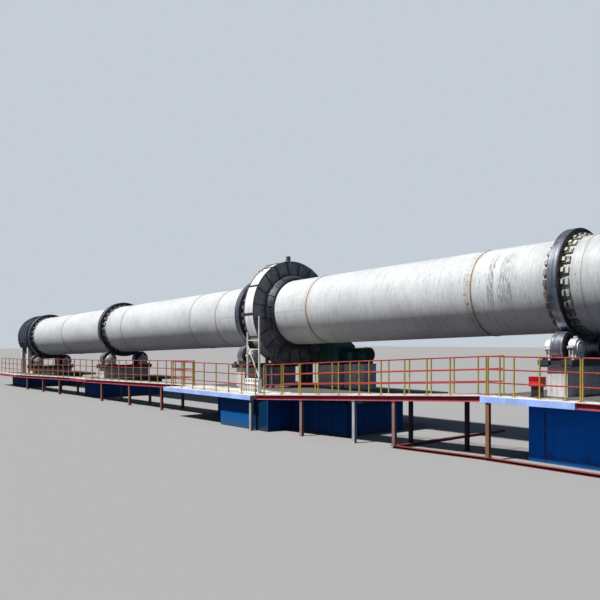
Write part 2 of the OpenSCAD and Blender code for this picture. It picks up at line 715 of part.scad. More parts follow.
cowl_r = shell_r + cowl_clear + cowl_depth;
discharge_x = tyre_1_at - tyre_w / 2 - cowl_gap - cowl_len;
feed_x = end_x + 50;
module discharge_cowl() {
    color([0.23, 0.26, 0.30]) on_axis() translate([discharge_x, 0, 0]) cowl_ring(cowl_len);
}
module feed_cowl() {
    color([0.23, 0.26, 0.30]) on_axis() translate([feed_x, 0, 0]) mirror([1, 0, 0]) cowl_ring(cowl_len);
}

// Stands with hollowed tops that the end cowls rest in
module cowl_stands() {
    half = 70;
    y = 700;
    spots = [[discharge_x + 230, deck_1_h], [discharge_x + cowl_len - 230, deck_1_h],
        [feed_x - cowl_len + 230, 0], [feed_x - 230, 0]];
    color([0.80, 0.80, 0.77]) for (e = spots, side = [-1, 1]) {
        top = axis_z(e[0]) - sqrt(pow(cowl_r, 2) - pow(y, 2));
        difference() {
            box([e[0] - half, e[0] + half], [side * y - half, side * y + half], [e[1], top + 100]);
            on_axis() translate([e[0], 0, 0]) rotate([0, 90, 0])
                cylinder(r = cowl_r + fit, h = 6 * half, center = true, $fn = 120);
        }
    }
}

// Courses of hollow blocks, the lowest one longer, under a light stand with rungs and one brace
module block_stack() {
    half = stand_half + 20;
    hole = [60, 2 * block_w, block_h - 36];
    color([0.86, 0.86, 0.84]) translate([stand_x, -stand_y, deck_3_h]) difference() {
        union() {
            translate([-half, -block_w / 2, 0]) cube([2 * half, block_w, 3 * block_h]);
            translate([-2 * half, -block_w / 2, 0]) cube([half + 10, block_w, block_h]);
        }
        for (c = [0:2], k = [0:c == 0 ? 7 : 4]) translate([half - 45 - k * 90, 0, (c + 0.5) * block_h])
            cube(hole, center = true);
    }
}
module access_stand() {
    low = deck_3_h + 3 * block_h + fit;
    w = stand_half;
    brace = [2 * w, 690];
    color([0.75, 0.75, 0.70]) translate([stand_x, -stand_y, low]) union() {
        translate([w - 14, -14, 0]) cube([28, 28, stand_tall]);
        translate([-w - 14, -14, 0]) cube([28, 28, stand_short]);
        for (z = [610, 800]) translate([-w, -8, z]) cube([2 * w, 16, 20]);
        translate([-w, -6, brace[1] + 15]) rotate([0, 90 + atan2(brace[1], brace[0]), 0])
            translate([-14, 0, 0]) cube([28, 12, norm(brace)]);
    }
}

module control_box() {
    x = 8060;
    y = -pier_half - 50;
    color(red) union() {
        box([x - 105, x + 105], [y - 60, y + 60], [deck_4_h + 160, deck_4_h + 300]);
        for (s = [-1, 1])
            box([x + s * 80 - 14, x + s * 80 + 14], [y - 14, y + 14], [deck_4_h + fit, deck_4_h + 170]);
    }
}

shell();
lining();
tyre(tyre_1_at);  // tyre_1
tyre(tyre_2_at);  // tyre_2
tyre(tyre_3_at);  // tyre_3
tyre(tyre_4_at);  // tyre_4
tyre_pads();
girth_gear();
gear_plates();
roller(0, -1);  // roller_1_near
roller(0, 1);  // roller_1_far
roller(1, -1);  // roller_2_near
roller(1, 1);  // roller_2_far
roller(2, -1);  // roller_3_near
roller(2, 1);  // roller_3_far
roller(3, -1);  // roller_4_near
roller(3, 1);  // roller_4_far
pinion();
pier_1();
pier_2();
pier_3();
pier_4();
platform_slabs();
roller_plinths();
roller_frames();
roller_bearings();
walkway_decks();
edge_beams();
walkway_columns();
ground_sills();
railing_1();
railing_2();
railing_3();
railing_4();
guard_rim();
guard_flank(-1);  // guard_flank_left
guard_flank(1);  // guard_flank_right
pinion_bearings();
gearbox();
drive_motor();
drive_base();
discharge_cowl();
feed_cowl();
cowl_stands();
access_stand();
block_stack();
control_box();
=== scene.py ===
import math

import bmesh
import bpy
from mathutils import Matrix, Vector


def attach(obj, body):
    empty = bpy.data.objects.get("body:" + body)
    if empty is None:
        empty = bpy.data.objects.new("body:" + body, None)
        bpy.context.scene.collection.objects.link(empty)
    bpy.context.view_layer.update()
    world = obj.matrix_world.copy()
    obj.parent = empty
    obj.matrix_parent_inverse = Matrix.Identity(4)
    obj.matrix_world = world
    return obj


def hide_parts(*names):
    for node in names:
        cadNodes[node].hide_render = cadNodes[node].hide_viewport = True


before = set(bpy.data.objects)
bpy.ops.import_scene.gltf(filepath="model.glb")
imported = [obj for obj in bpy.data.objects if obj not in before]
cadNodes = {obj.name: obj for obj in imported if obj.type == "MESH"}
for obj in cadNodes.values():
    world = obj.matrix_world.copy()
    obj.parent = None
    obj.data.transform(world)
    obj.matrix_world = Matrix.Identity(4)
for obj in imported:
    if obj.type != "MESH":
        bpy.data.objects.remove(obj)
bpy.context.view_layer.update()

print("frame loaded:", len(cadNodes), "nodes")

# the kiln's own line: where it runs and what sits on it (metres)
kilnLine = {"tilt": math.radians(1.81), "height": 2.429, "shellRadius": 0.75, "tyreRadius": 0.895,
            "tyres": [-14.25, -7.7, 0.035, 8.145], "tyreWidth": 0.168,
            "seams": {-11.2: 0.5, -6.4: 0.6, -2.35: 0.5, -1.1: 0.6, 2.4: 1.0, 6.6: 1.0, 8.525: 0.12},
            "gearAt": 0.95, "guardWidth": 0.33, "guardRadius": 1.2, "pinion": (0.8103, -0.96568),
            "rollerRadius": 0.25, "rollerOut": 0.5727, "rollerDown": -0.99195}
onAxis = Matrix.Translation((0, 0, kilnLine["height"])) @ Matrix.Rotation(-kilnLine["tilt"], 4, "Y")
bothSides = (("near", -1), ("far", 1))


# node helpers
def put(tree, kind, values=None, **props):
    made = tree.nodes.new(kind)
    for key, value in props.items():
        setattr(made, key, value)
    for key, value in (values or {}).items():
        if isinstance(value, bpy.types.NodeSocket):
            tree.links.new(value, made.inputs[key])
        else:
            made.inputs[key].default_value = value
    return made


def calc(tree, how, a, b=0.0, c=0.0):
    return put(tree, "ShaderNodeMath", {0: a, 1: b, 2: c}, operation=how).outputs[0]


def times(tree, first, *others):
    for other in others:
        first = calc(tree, "MULTIPLY", first, other)
    return first


def xyz(tree, x=0.0, y=0.0, z=0.0):
    return put(tree, "ShaderNodeCombineXYZ", {0: x, 1: y, 2: z}).outputs[0]


def axes(tree, vector):
    return put(tree, "ShaderNodeSeparateXYZ", {0: vector}).outputs


def apart(tree, a, b):
    return calc(tree, "ABSOLUTE", calc(tree, "SUBTRACT", a, b))


def fromAxis(tree, parts):
    squares = [times(tree, parts[axis], parts[axis]) for axis in ("Y", "Z")]
    return calc(tree, "SQRT", calc(tree, "ADD", *squares))


def mixColor(tree, factor, a, b, how="MIX"):
    return put(tree, "ShaderNodeMix", {0: factor, 6: a, 7: b}, data_type="RGBA", blend_type=how).outputs[2]


def shade(tree, color, gain):
    return mixColor(tree, 1.0, color, gain, "MULTIPLY")


def rgb(color, gain=1.0):
    return tuple(c * gain for c in color) + (1.0,)


def twoTone(tree, factor, color, low, high):
    # one colour, from its low gain to its high one
    return mixColor(tree, factor, rgb(color, low), rgb(color, high))


def remap(tree, value, low, high, start=0.0, end=1.0):
    return put(tree, "ShaderNodeMapRange", {0: value, 1: low, 2: high, 3: start, 4: end},
               interpolation_type="SMOOTHSTEP").outputs[0]


def stretch(tree, vector, size):
    return put(tree, "ShaderNodeVectorMath", {0: vector, 1: size}, operation="MULTIPLY").outputs[0]


def scaleBy(tree, vector, scale):
    return put(tree, "ShaderNodeVectorMath", {0: vector, "Scale": scale}, operation="SCALE").outputs[0]


def noise(tree, vector, scale, detail=4.0, rough=0.55):
    values = {"Vector": vector, "Scale": scale, "Detail": detail, "Roughness": rough}
    return put(tree, "ShaderNodeTexNoise", values).outputs[0]


def waver(tree, value, wave, reach):
    # lets an edge wander by so much to either side
    return calc(tree, "ADD", value, remap(tree, wave, 0.3, 0.7, -reach, reach))


def startGroup(name, inputs, outputs, kind="ShaderNodeTree"):
    tree = bpy.data.node_groups.new(name, kind)
    for label, socketKind, value in inputs:
        socket = tree.interface.new_socket(label, in_out="INPUT", socket_type="NodeSocket" + socketKind)
        if value is not None:
            socket.default_value = value
    for label, socketKind in outputs:
        tree.interface.new_socket(label, in_out="OUTPUT", socket_type="NodeSocket" + socketKind)
    return tree, put(tree, "NodeGroupInput"), put(tree, "NodeGroupOutput")


def addObject(name, data):
    made = bpy.data.objects.new(name, data)
    bpy.context.scene.collection.objects.link(made)
    return made


# camera and light
def placeCamera():
    view = {"spot": (13.4, -10.388, 1.8), "turn": (math.radians(90), 0, 0.8599), "sensor": 36.0, "lens": 40.8,
            "shift": 0.0683, "farthest": 300.0}
    data = bpy.data.cameras.new("photoView")
    data.sensor_width, data.lens, data.shift_y = view["sensor"], view["lens"], view["shift"]
    data.clip_end = view["farthest"]
    camera = addObject("photoView", data)
    camera.location, camera.rotation_euler = view["spot"], view["turn"]
    bpy.context.scene.camera = camera


def placeLights():
    light = {"keyPower": 6.2, "keyAngle": math.radians(4.0), "keyTurn": (math.radians(30), math.radians(-9), 0.0),
             "keyColor": (1.0, 0.99, 0.975), "fillColor": (0.62, 0.82, 1.20, 1.0), "fillPower": 0.16,
             "backdrop": (0.56, 0.61, 0.68, 1.0)}
    sun = bpy.data.lights.new("keyLight", "SUN")
    sun.energy, sun.angle, sun.color = light["keyPower"], light["keyAngle"], light["keyColor"]
    addObject("keyLight", sun).rotation_euler = light["keyTurn"]
    world = bpy.data.worlds.new("studioSky")
    world.use_nodes = True
    tree = world.node_tree
    fill = tree.nodes["Background"]
    fill.inputs["Color"].default_value = light["fillColor"]
    fill.inputs["Strength"].default_value = light["fillPower"]
    # the backdrop that is seen is paler than the light that it gives
    seen = put(tree, "ShaderNodeBackground", {"Color": light["backdrop"]})
    both = put(tree, "ShaderNodeMixShader", {0: put(tree, "ShaderNodeLightPath").outputs["Is Camera Ray"],
                                             1: fill.outputs[0], 2: seen.outputs[0]})
    tree.links.new(both.outputs[0], tree.nodes["World Output"].inputs["Surface"])
    bpy.context.scene.world = world
    bpy.context.scene.view_settings.view_transform = "Standard"


placeCamera()
placeLights()
print("camera and lights placed")


# effects that the finishes share
def wearGroup():
    # streaks run along the third axis of the vector that comes in
    tree, start, end = startGroup("weathering", [
        ("Vector", "Vector", None), ("Paint", "Color", (0.5, 0.5, 0.5, 1)),
        ("Dirt", "Color", (0.12, 0.11, 0.10, 1)), ("Rust", "Color", (0.20, 0.08, 0.03, 1)),
        ("Streaks", "Float", 0.4), ("Patches", "Float", 0.3), ("Specks", "Float", 0.3), ("Scale", "Float", 1.0)],
        [("Color", "Color"), ("Roughness", "Float"), ("Height", "Float")])
    given = start.outputs
    spot = scaleBy(tree, given["Vector"], given["Scale"])
    broad = noise(tree, spot, 1.7, 5.0)
    drips = noise(tree, stretch(tree, spot, (9.0, 9.0, 0.7)), 1.6, 6.0, 0.65)
    fine = noise(tree, spot, 70.0, 3.0, 0.7)
    chips = noise(tree, spot, 26.0, 2.0, 0.5)
    color = shade(tree, given["Paint"], remap(tree, broad, 0.30, 0.70, 0.82, 1.10))
    streak = times(tree, remap(tree, drips, 0.48, 0.74), given["Streaks"])
    color = mixColor(tree, streak, color, given["Dirt"])
    patch = times(tree, remap(tree, noise(tree, spot, 4.2, 7.0, 0.68), 0.54, 0.70), given["Patches"])
    color = mixColor(tree, patch, color, given["Dirt"])
    speck = times(tree, remap(tree, chips, 0.66, 0.72), given["Specks"])
    color = mixColor(tree, speck, color, given["Rust"])
    color = mixColor(tree, 0.10, color, remap(tree, fine, 0.2, 0.8, 0.75, 1.2), "MULTIPLY")
    rough = calc(tree, "ADD", remap(tree, broad, 0.3, 0.7, 0.38, 0.56), times(tree, streak, 0.3))
    tree.links.new(color, end.inputs["Color"])
    tree.links.new(rough, end.inputs["Roughness"])
    tree.links.new(calc(tree, "MULTIPLY_ADD", speck, -0.6, fine), end.inputs["Height"])
    return tree


def ringGroup():
    # how far a point lies from a ring at a place along the kiln, as a soft band
    inputs = [("Along", "Float", 0.0), ("Place", "Float", 0.0), ("Reach", "Float", 0.05)]
    tree, start, end = startGroup("ringBand", inputs, [("Band", "Float")])
    away = apart(tree, start.outputs["Along"], start.outputs["Place"])
    tree.links.new(remap(tree, away, 0.0, start.outputs["Reach"], 1.0, 0.0), end.inputs["Band"])
    return tree


weathering = wearGroup()
ringBand = ringGroup()


def worn(tree, place, paint, dirt, rust, streaks, patches, specks, scale):
    values = {"Vector": place, "Paint": paint, "Dirt": rgb(dirt), "Rust": rgb(rust), "Streaks": streaks,
              "Patches": patches, "Specks": specks, "Scale": scale}
    return put(tree, "ShaderNodeGroup", values, node_tree=weathering).outputs


def bandsAt(tree, along, rings, ramp=None):
    # the strongest of several bands; each ring has its place, its reach and its strength
    most = 0.0
    for place, reach, strength in rings:
        values = {"Along": along, "Place": place, "Reach": reach}
        band = put(tree, "ShaderNodeGroup", values, node_tree=ringBand).outputs[0]
        if ramp:
            band = remap(tree, band, *ramp)
        most = calc(tree, "MAXIMUM", times(tree, band, strength), most)
    return most


def startMaterial(name, metallic=0.0, specular=0.4):
    material = bpy.data.materials.new(name)
    material.use_nodes = True
    shader = material.node_tree.nodes["Principled BSDF"]
    shader.inputs["Metallic"].default_value = metallic
    shader.inputs["Specular IOR Level"].default_value = specular
    return material, material.node_tree


def closeMaterial(material, color, rough, height=None, depth=0.004, strength=0.4, metallic=None):
    tree = material.node_tree
    links = {"Base Color": color, "Roughness": rough, "Metallic": metallic}
    if height is not None:
        bump = put(tree, "ShaderNodeBump", {"Height": height, "Distance": depth, "Strength": strength})
        links["Normal"] = bump.outputs[0]
    for socket, value in links.items():
        if value is not None:
            tree.links.new(value, tree.nodes["Principled BSDF"].inputs[socket])
    return material


def ownPlace(tree):
    return put(tree, "ShaderNodeTexCoord").outputs["Object"]


def linePlace(tree):
    # the kiln's own line: x along it, y and z across
    return put(tree, "ShaderNodeMapping", {"Vector": ownPlace(tree), "Location": (0, 0, kilnLine["height"]),
               "Rotation": (0, -kilnLine["tilt"], 0)}, vector_type="TEXTURE").outputs[0]


# finishes
def weathered(name, paint, dirt, rust, streaks, patches, specks, scale, metallic=0.0):
    material, tree = startMaterial(name, metallic)
    wear = worn(tree, ownPlace(tree), rgb(paint), dirt, rust, streaks, patches, specks, scale)
    return closeMaterial(material, wear["Color"], wear["Roughness"], wear["Height"])


def shellFinish():
    look = {"paint": (0.562, 0.580, 0.574), "dirt": (0.245, 0.255, 0.262), "stain": (0.27, 0.175, 0.105),
            "halo": (0.40, 0.345, 0.25), "speck": (0.09, 0.085, 0.08), "bead": (0.07, 0.06, 0.06),
            "smudge": (0.13, 0.125, 0.12), "grease": (0.16, 0.145, 0.12), "haloReach": 0.17, "coreReach": 0.034,
            "greaseReach": 0.42, "dotsAt": [(6.50, 0.07, 1)], "smudgesAt": [(6.98, 0.10, 1), (7.26, 0.20, 1)],
            "smudgeHeight": 0.15, "dullFrom": 7.3, "dullTo": 8.2, "dull": 0.77}
    material, tree = startMaterial("shellPaint", 0.0, 0.66)
    line = linePlace(tree)
    parts = axes(tree, line)
    along, seams = parts["X"], kilnLine["seams"].items()
    # fine streaks that run round the shell
    streaks = noise(tree, stretch(tree, line, (30.0, 1.2, 1.2)), 1.3, 7.0, 0.7)
    broad = noise(tree, stretch(tree, line, (0.7, 1.0, 1.0)), 1.4, 5.0, 0.6)
    lanes = noise(tree, stretch(tree, line, (90.0, 2.4, 2.4)), 1.0, 5.0, 0.65)
    hatch = noise(tree, stretch(tree, line, (150.0, 9.0, 9.0)), 1.0, 4.0, 0.6)
    color = mixColor(tree, remap(tree, streaks, 0.46, 0.78, 0.0, 0.8), rgb(look["paint"]), rgb(look["dirt"], 1.2))
    color = mixColor(tree, remap(tree, lanes, 0.50, 0.74, 0.0, 0.7), color, rgb(look["dirt"]))
    color = shade(tree, color, remap(tree, hatch, 0.30, 0.70, 0.82, 1.12))
    color = shade(tree, color, remap(tree, broad, 0.3, 0.7, 0.90, 1.08))
    # the shell is duller past the last tyre
    color = shade(tree, color, remap(tree, along, look["dullFrom"], look["dullTo"], 1.0, look["dull"]))
    # rust halo at each ring weld
    halo = bandsAt(tree, along, [(place - 0.03, look["haloReach"], rust) for place, rust in seams])
    core = bandsAt(tree, along, [(place, look["coreReach"], rust) for place, rust in seams])
    uneven = remap(tree, noise(tree, stretch(tree, line, (6.0, 2.5, 2.5)), 2.0, 6.0, 0.7), 0.35, 0.65, 0.15, 1.0)
    color = mixColor(tree, times(tree, halo, uneven, 0.75), color, rgb(look["halo"]))
    color = mixColor(tree, times(tree, core, 0.9), color, rgb(look["stain"]))
    # dark specks, thicker towards the weld at the feed side
    speck = remap(tree, noise(tree, stretch(tree, line, (1.0, 1.0, 0.7)), 24.0, 2.0, 0.5), 0.68, 0.74)
    color = mixColor(tree, times(tree, speck, 0.7), color, rgb(look["speck"]))
    dots = bandsAt(tree, along, look["dotsAt"], (0.0, 0.5))
    beads = remap(tree, noise(tree, line, 34.0, 1.0, 0.5), 0.60, 0.65)
    color = mixColor(tree, times(tree, dots, beads, 0.85), color, rgb(look["bead"]))
    # patch of short smudges on the side, right of that weld
    near = bandsAt(tree, along, look["smudgesAt"], (0.0, 0.6))
    side = remap(tree, apart(tree, parts["Z"], look["smudgeHeight"]), 0.25, 0.55, 1.0, 0.0)
    dash = remap(tree, noise(tree, stretch(tree, line, (70.0, 9.0, 9.0)), 1.0, 4.0, 0.7), 0.44, 0.57)
    color = mixColor(tree, times(tree, near, side, dash, 0.8), color, rgb(look["smudge"]))
    # greasy dirt beside the tyres and the guard
    greasy = kilnLine["tyres"] + [kilnLine["gearAt"]]
    grease = bandsAt(tree, along, [(place, look["greaseReach"], 1) for place in greasy])
    color = mixColor(tree, times(tree, grease, uneven, 0.35), color, rgb(look["grease"]))
    bumps = noise(tree, stretch(tree, line, (3.0, 1.0, 1.0)), 30.0, 4.0, 0.6)
    return closeMaterial(material, color, remap(tree, streaks, 0.3, 0.7, 0.44, 0.60), bumps, 0.004, 0.35)


def treadFinish(name, radius, face, side, center=(0.0, 0.0)):
    # polished running face, dark oily sides; center is the piece's own axis beside the kiln's
    look = {"rust": (0.10, 0.055, 0.03), "sideMetal": 0.15, "faceMetal": 0.82, "sideRough": 0.52,
            "faceRough": 0.31}
    material, tree = startMaterial(name, 0.0, 0.5)
    moved = put(tree, "ShaderNodeVectorMath", {0: linePlace(tree), 1: (0.0, -center[0], -center[1])},
                operation="ADD").outputs[0]
    mask = remap(tree, fromAxis(tree, axes(tree, moved)), radius - 0.006, radius - 0.002)
    lanes = noise(tree, stretch(tree, moved, (60.0, 1.6, 1.6)), 1.0, 5.0, 0.65)
    blotch = noise(tree, moved, 5.0, 6.0, 0.65)
    bright = twoTone(tree, remap(tree, lanes, 0.3, 0.7), face, 0.62, 1.15)
    bright = mixColor(tree, remap(tree, blotch, 0.42, 0.66, 0.0, 0.75), bright, rgb(face, 0.28))
    dull = twoTone(tree, remap(tree, blotch, 0.35, 0.7), side, 1.0, 1.9)
    rusty = remap(tree, noise(tree, moved, 17.0, 4.0, 0.6), 0.56, 0.70, 0.0, 0.6)
    dull = mixColor(tree, rusty, dull, rgb(look["rust"]))
    rough = calc(tree, "ADD", remap(tree, mask, 0.0, 1.0, look["sideRough"], look["faceRough"]),
                 remap(tree, lanes, 0.3, 0.7, -0.05, 0.10))
    metal = remap(tree, mask, 0.0, 1.0, look["sideMetal"], look["faceMetal"])
    bumps = calc(tree, "ADD", lanes, noise(tree, moved, 40.0, 3.0, 0.6))
    return closeMaterial(material, mixColor(tree, mask, dull, bright), rough, bumps, 0.0015, 0.35, metal)


def padFinish():
    look = {"cream": (0.52, 0.53, 0.43), "faded": (0.34, 0.34, 0.36), "brown": (0.22, 0.165, 0.14),
            "pale": (0.46, 0.45, 0.42), "soot": (0.050, 0.047, 0.043), "leftBy": 0.19, "reach": 0.16,
            "fadedTo": 0.5, "creamFrom": 2.0}
    material, tree = startMaterial("padPaint", 0.0, 0.3)
    line = linePlace(tree)
    parts = axes(tree, line)
    rows = [(place - look["leftBy"], look["reach"], 1) for place in kilnLine["tyres"]]
    left = bandsAt(tree, parts["X"], rows, (0.05, 0.25))
    blotch = noise(tree, line, 9.0, 5.0, 0.65)
    cream = twoTone(tree, remap(tree, blotch, 0.40, 0.72, 0.0, 0.6), look["cream"], 1.0, 0.45)
    # the far rows have lost their cream
    faded = twoTone(tree, remap(tree, blotch, 0.40, 0.62), look["faded"], 1.0, 0.4)
    cream = mixColor(tree, remap(tree, parts["X"], look["fadedTo"], look["creamFrom"]), faded, cream)
    brown = twoTone(tree, remap(tree, blotch, 0.40, 0.72), look["brown"], 1.3, 0.5)
    upper = remap(tree, waver(tree, parts["Z"], blotch, 0.15), 0.10, 0.30)
    brown = mixColor(tree, upper, brown, rgb(look["pale"]))
    color = mixColor(tree, left, cream, brown)
    # painted shade low down on the pads, where the kiln's underside is shaded, and soot in patches
    patch = noise(tree, line, 4.5, 6.0, 0.7)
    low = remap(tree, waver(tree, parts["Z"], patch, 0.25), -0.65, -0.10, 0.8, 0.0)
    color = mixColor(tree, low, color, rgb(look["soot"]))
    color = mixColor(tree, remap(tree, patch, 0.50, 0.63, 0.0, 0.7), color, rgb(look["soot"], 1.6))
    rough = remap(tree, blotch, 0.3, 0.7, 0.45, 0.7)
    return closeMaterial(material, color, rough, noise(tree, line, 60.0, 3.0, 0.6), 0.002)


def flankFinish():
    look = {"plate": (0.082, 0.086, 0.094), "worn": (0.23, 0.24, 0.26), "cone": (0.017, 0.022, 0.028),
            "drip": (0.022, 0.021, 0.020), "speck": (0.20, 0.20, 0.19), "coneRadius": 0.895}
    material, tree = startMaterial("guardFlankPaint", 0.1, 0.4)
    line = linePlace(tree)
    out = fromAxis(tree, axes(tree, line))
    blotch = noise(tree, line, 3.2, 7.0, 0.68)
    drips = noise(tree, stretch(tree, line, (9.0, 9.0, 0.9)), 1.3, 5.0, 0.6)
    patchy = remap(tree, blotch, 0.35, 0.68)
    plate = mixColor(tree, patchy, rgb(look["plate"]), rgb(look["worn"]))
    cone = twoTone(tree, patchy, look["cone"], 0.8, 1.7)
    color = mixColor(tree, remap(tree, out, look["coneRadius"] - 0.10, look["coneRadius"] + 0.06), cone, plate)
    color = mixColor(tree, remap(tree, drips, 0.50, 0.72, 0.0, 0.6), color, rgb(look["drip"]))
    speck = remap(tree, noise(tree, line, 22.0, 3.0, 0.6), 0.62, 0.72, 0.0, 0.7)
    color = mixColor(tree, speck, color, rgb(look["speck"]))
    bumps = noise(tree, line, 14.0, 5.0, 0.6)
    return closeMaterial(material, color, remap(tree, blotch, 0.3, 0.7, 0.35, 0.60), bumps, 0.004, 0.35)


def pierFinish():
    look = {"paint": (0.004, 0.29, 0.97), "dark": (0.005, 0.17, 0.60), "shadedNavy": (0.004, 0.088, 0.26),
            "splash": (0.08, 0.0675, 0.05), "drip": (0.055, 0.033, 0.028), "dripAt": 8.16, "shadedNavyTo": 5.0,
            "shadeStripAt": [(2.55, 0.26, 1)]}
    material, tree = startMaterial("pierPaint", 0.0, 0.18)
    place = ownPlace(tree)
    parts = axes(tree, place)
    broad = noise(tree, place, 1.3, 5.0, 0.6)
    runs = noise(tree, stretch(tree, place, (7.0, 7.0, 0.45)), 1.3, 6.0, 0.6)
    color = twoTone(tree, remap(tree, broad, 0.32, 0.70), look["paint"], 1.08, 0.82)
    # the piers short of 5 m along the kiln take the darker navy: a painted shade copy of the same blue paint
    light = remap(tree, parts["X"], look["shadedNavyTo"] - 0.1, look["shadedNavyTo"] + 0.1)
    color = mixColor(tree, light, rgb(look["shadedNavy"]), color)
    color = mixColor(tree, remap(tree, runs, 0.46, 0.74, 0.0, 0.45), color, rgb(look["dark"]))
    # painted shade on the balcony's block, where the walkway leaves it
    outside = remap(tree, parts["Y"], -1.7, -1.5, 1.0, 0.0)
    shadeStrip = times(tree, bandsAt(tree, parts["X"], look["shadeStripAt"], (0.0, 0.05)), outside)
    color = mixColor(tree, shadeStrip, color, rgb(look["shadedNavy"], 0.3))
    # brown run down the last pier, below its platform
    away = waver(tree, apart(tree, parts["X"], look["dripAt"]), noise(tree, place, 6.0, 3.0), 0.006)
    color = mixColor(tree, times(tree, remap(tree, away, 0.004, 0.014, 1.0, 0.0), 0.85), color, rgb(look["drip"]))
    # soil splashed up from the ground
    reach = remap(tree, noise(tree, place, 5.0, 6.0, 0.7), 0.3, 0.7, 0.0, 0.16)
    splash = remap(tree, calc(tree, "SUBTRACT", parts["Z"], reach), 0.0, 0.05, 0.45, 0.0)
    color = mixColor(tree, splash, color, rgb(look["splash"]))
    rough = remap(tree, broad, 0.3, 0.7, 0.38, 0.55)
    return closeMaterial(material, color, rough, noise(tree, place, 22.0, 6.0, 0.65), 0.005)


def slabFinish():
    look = {"top": (0.60, 0.575, 0.53), "dirt": (0.27, 0.24, 0.20), "shadeUnderKiln": (0.060, 0.058, 0.054),
            "shadeUnderKilnHalf": 1.15}
    material, tree = startMaterial("slabConcrete", 0.0, 0.3)
    place = ownPlace(tree)
    broad = noise(tree, place, 1.8, 7.0, 0.68)
    pores = noise(tree, place, 55.0, 3.0, 0.6)
    color = mixColor(tree, remap(tree, broad, 0.42, 0.70, 0.0, 0.85), rgb(look["top"]), rgb(look["dirt"]))
    color = mixColor(tree, remap(tree, pores, 0.60, 0.72, 0.0, 0.5), color, rgb(look["dirt"], 0.6))
    # the slab is painted dark under the kiln: painted shade, which also throws less light up at the shell
    aside = waver(tree, calc(tree, "ABSOLUTE", axes(tree, place)["Y"]), noise(tree, place, 3.0, 6.0, 0.7), 0.18)
    shadeUnderKiln = remap(tree, aside, look["shadeUnderKilnHalf"] - 0.10, look["shadeUnderKilnHalf"] + 0.16, 0.92, 0.0)
    color = mixColor(tree, shadeUnderKiln, color, rgb(look["shadeUnderKiln"]))
    bumps = calc(tree, "ADD", pores, noise(tree, place, 9.0, 6.0, 0.6))
    return closeMaterial(material, color, remap(tree, broad, 0.3, 0.7, 0.68, 0.88), bumps, 0.004, 0.5)


def brickFinish():
    look = {"brick": (0.26, 0.15, 0.09), "joint": (0.09, 0.07, 0.055), "soot": (0.03, 0.028, 0.026),
            "courseLength": 0.10, "round": 40, "fullTurn": 6.2832}
    material, tree = startMaterial("brickLining", 0.0, 0.2)
    line = linePlace(tree)
    parts = axes(tree, line)
    turn = times(tree, calc(tree, "ARCTAN2", parts["Y"], parts["Z"]), look["round"] / look["fullTurn"])
    flat = xyz(tree, turn, calc(tree, "DIVIDE", parts["X"], look["courseLength"]))
    brick = put(tree, "ShaderNodeTexBrick", {
        "Vector": flat, "Color1": rgb(look["brick"]), "Color2": rgb(look["brick"], 0.6),
        "Mortar": rgb(look["joint"]), "Scale": 1.0, "Mortar Size": 0.03, "Brick Width": 1.0, "Row Height": 1.0})
    sooty = remap(tree, noise(tree, line, 3.0, 6.0, 0.7), 0.4, 0.7, 0.0, 0.8)
    color = mixColor(tree, sooty, brick.outputs["Color"], rgb(look["soot"]))
    rough = remap(tree, noise(tree, line, 8.0), 0.3, 0.7, 0.75, 0.95)
    return closeMaterial(material, color, rough, brick.outputs["Fac"], 0.006, 0.5)


def columnFinish():
    # each column has faded in its own way; places are along the kiln
    look = {"paint": (0.33, 0.135, 0.085), "dirt": (0.09, 0.045, 0.032), "rust": (0.42, 0.30, 0.25), "faded": {
            2.415: (0.40, 0.385, 0.37), 3.67: (0.36, 0.195, 0.185), 4.93: (0.44, 0.43, 0.44),
            5.64: (0.13, 0.06, 0.045), 5.78: (0.28, 0.16, 0.145), 6.73: (0.10, 0.052, 0.042),
            7.49: (0.27, 0.12, 0.055)}}
    material, tree = startMaterial("columnPaint")
    place = ownPlace(tree)
    along = axes(tree, place)["X"]
    color = rgb(look["paint"])
    for spot, paint in look["faded"].items():
        color = mixColor(tree, bandsAt(tree, along, [(spot, 0.10, 1)], (0.0, 0.05)), color, rgb(paint))
    wear = worn(tree, place, color, look["dirt"], look["rust"], 0.5, 0.45, 0.4, 2.2)
    return closeMaterial(material, wear["Color"], wear["Roughness"], wear["Height"])


def rimFinish():
    look = {"sheet": (0.74, 0.74, 0.72), "stain": (0.34, 0.31, 0.27), "rust": (0.20, 0.08, 0.03),
            "pot": (0.085, 0.085, 0.088), "dirt": (0.045, 0.043, 0.042), "shadeAndDirtFrom": -0.76, "shadeAndDirtTo": -0.62}
    material, tree = startMaterial("guardRimPaint")
    line = linePlace(tree)
    parts = axes(tree, line)
    wear = worn(tree, line, rgb(look["sheet"]), look["stain"], look["rust"], 0.4, 0.35, 0.3, 1.6)
    # darker on the rim's lower part: painted shade where it faces down, and dirt
    low = remap(tree, parts["Z"], look["shadeAndDirtFrom"], look["shadeAndDirtTo"], 0.92, 0.0)
    color = mixColor(tree, low, wear["Color"], rgb(look["dirt"]))
    # what stands out past the sheet is the grease pot or a support
    past = remap(tree, fromAxis(tree, parts), kilnLine["guardRadius"] + 0.001, kilnLine["guardRadius"] + 0.005)
    color = mixColor(tree, past, color, rgb(look["pot"]))
    return closeMaterial(material, color, wear["Roughness"], wear["Height"])


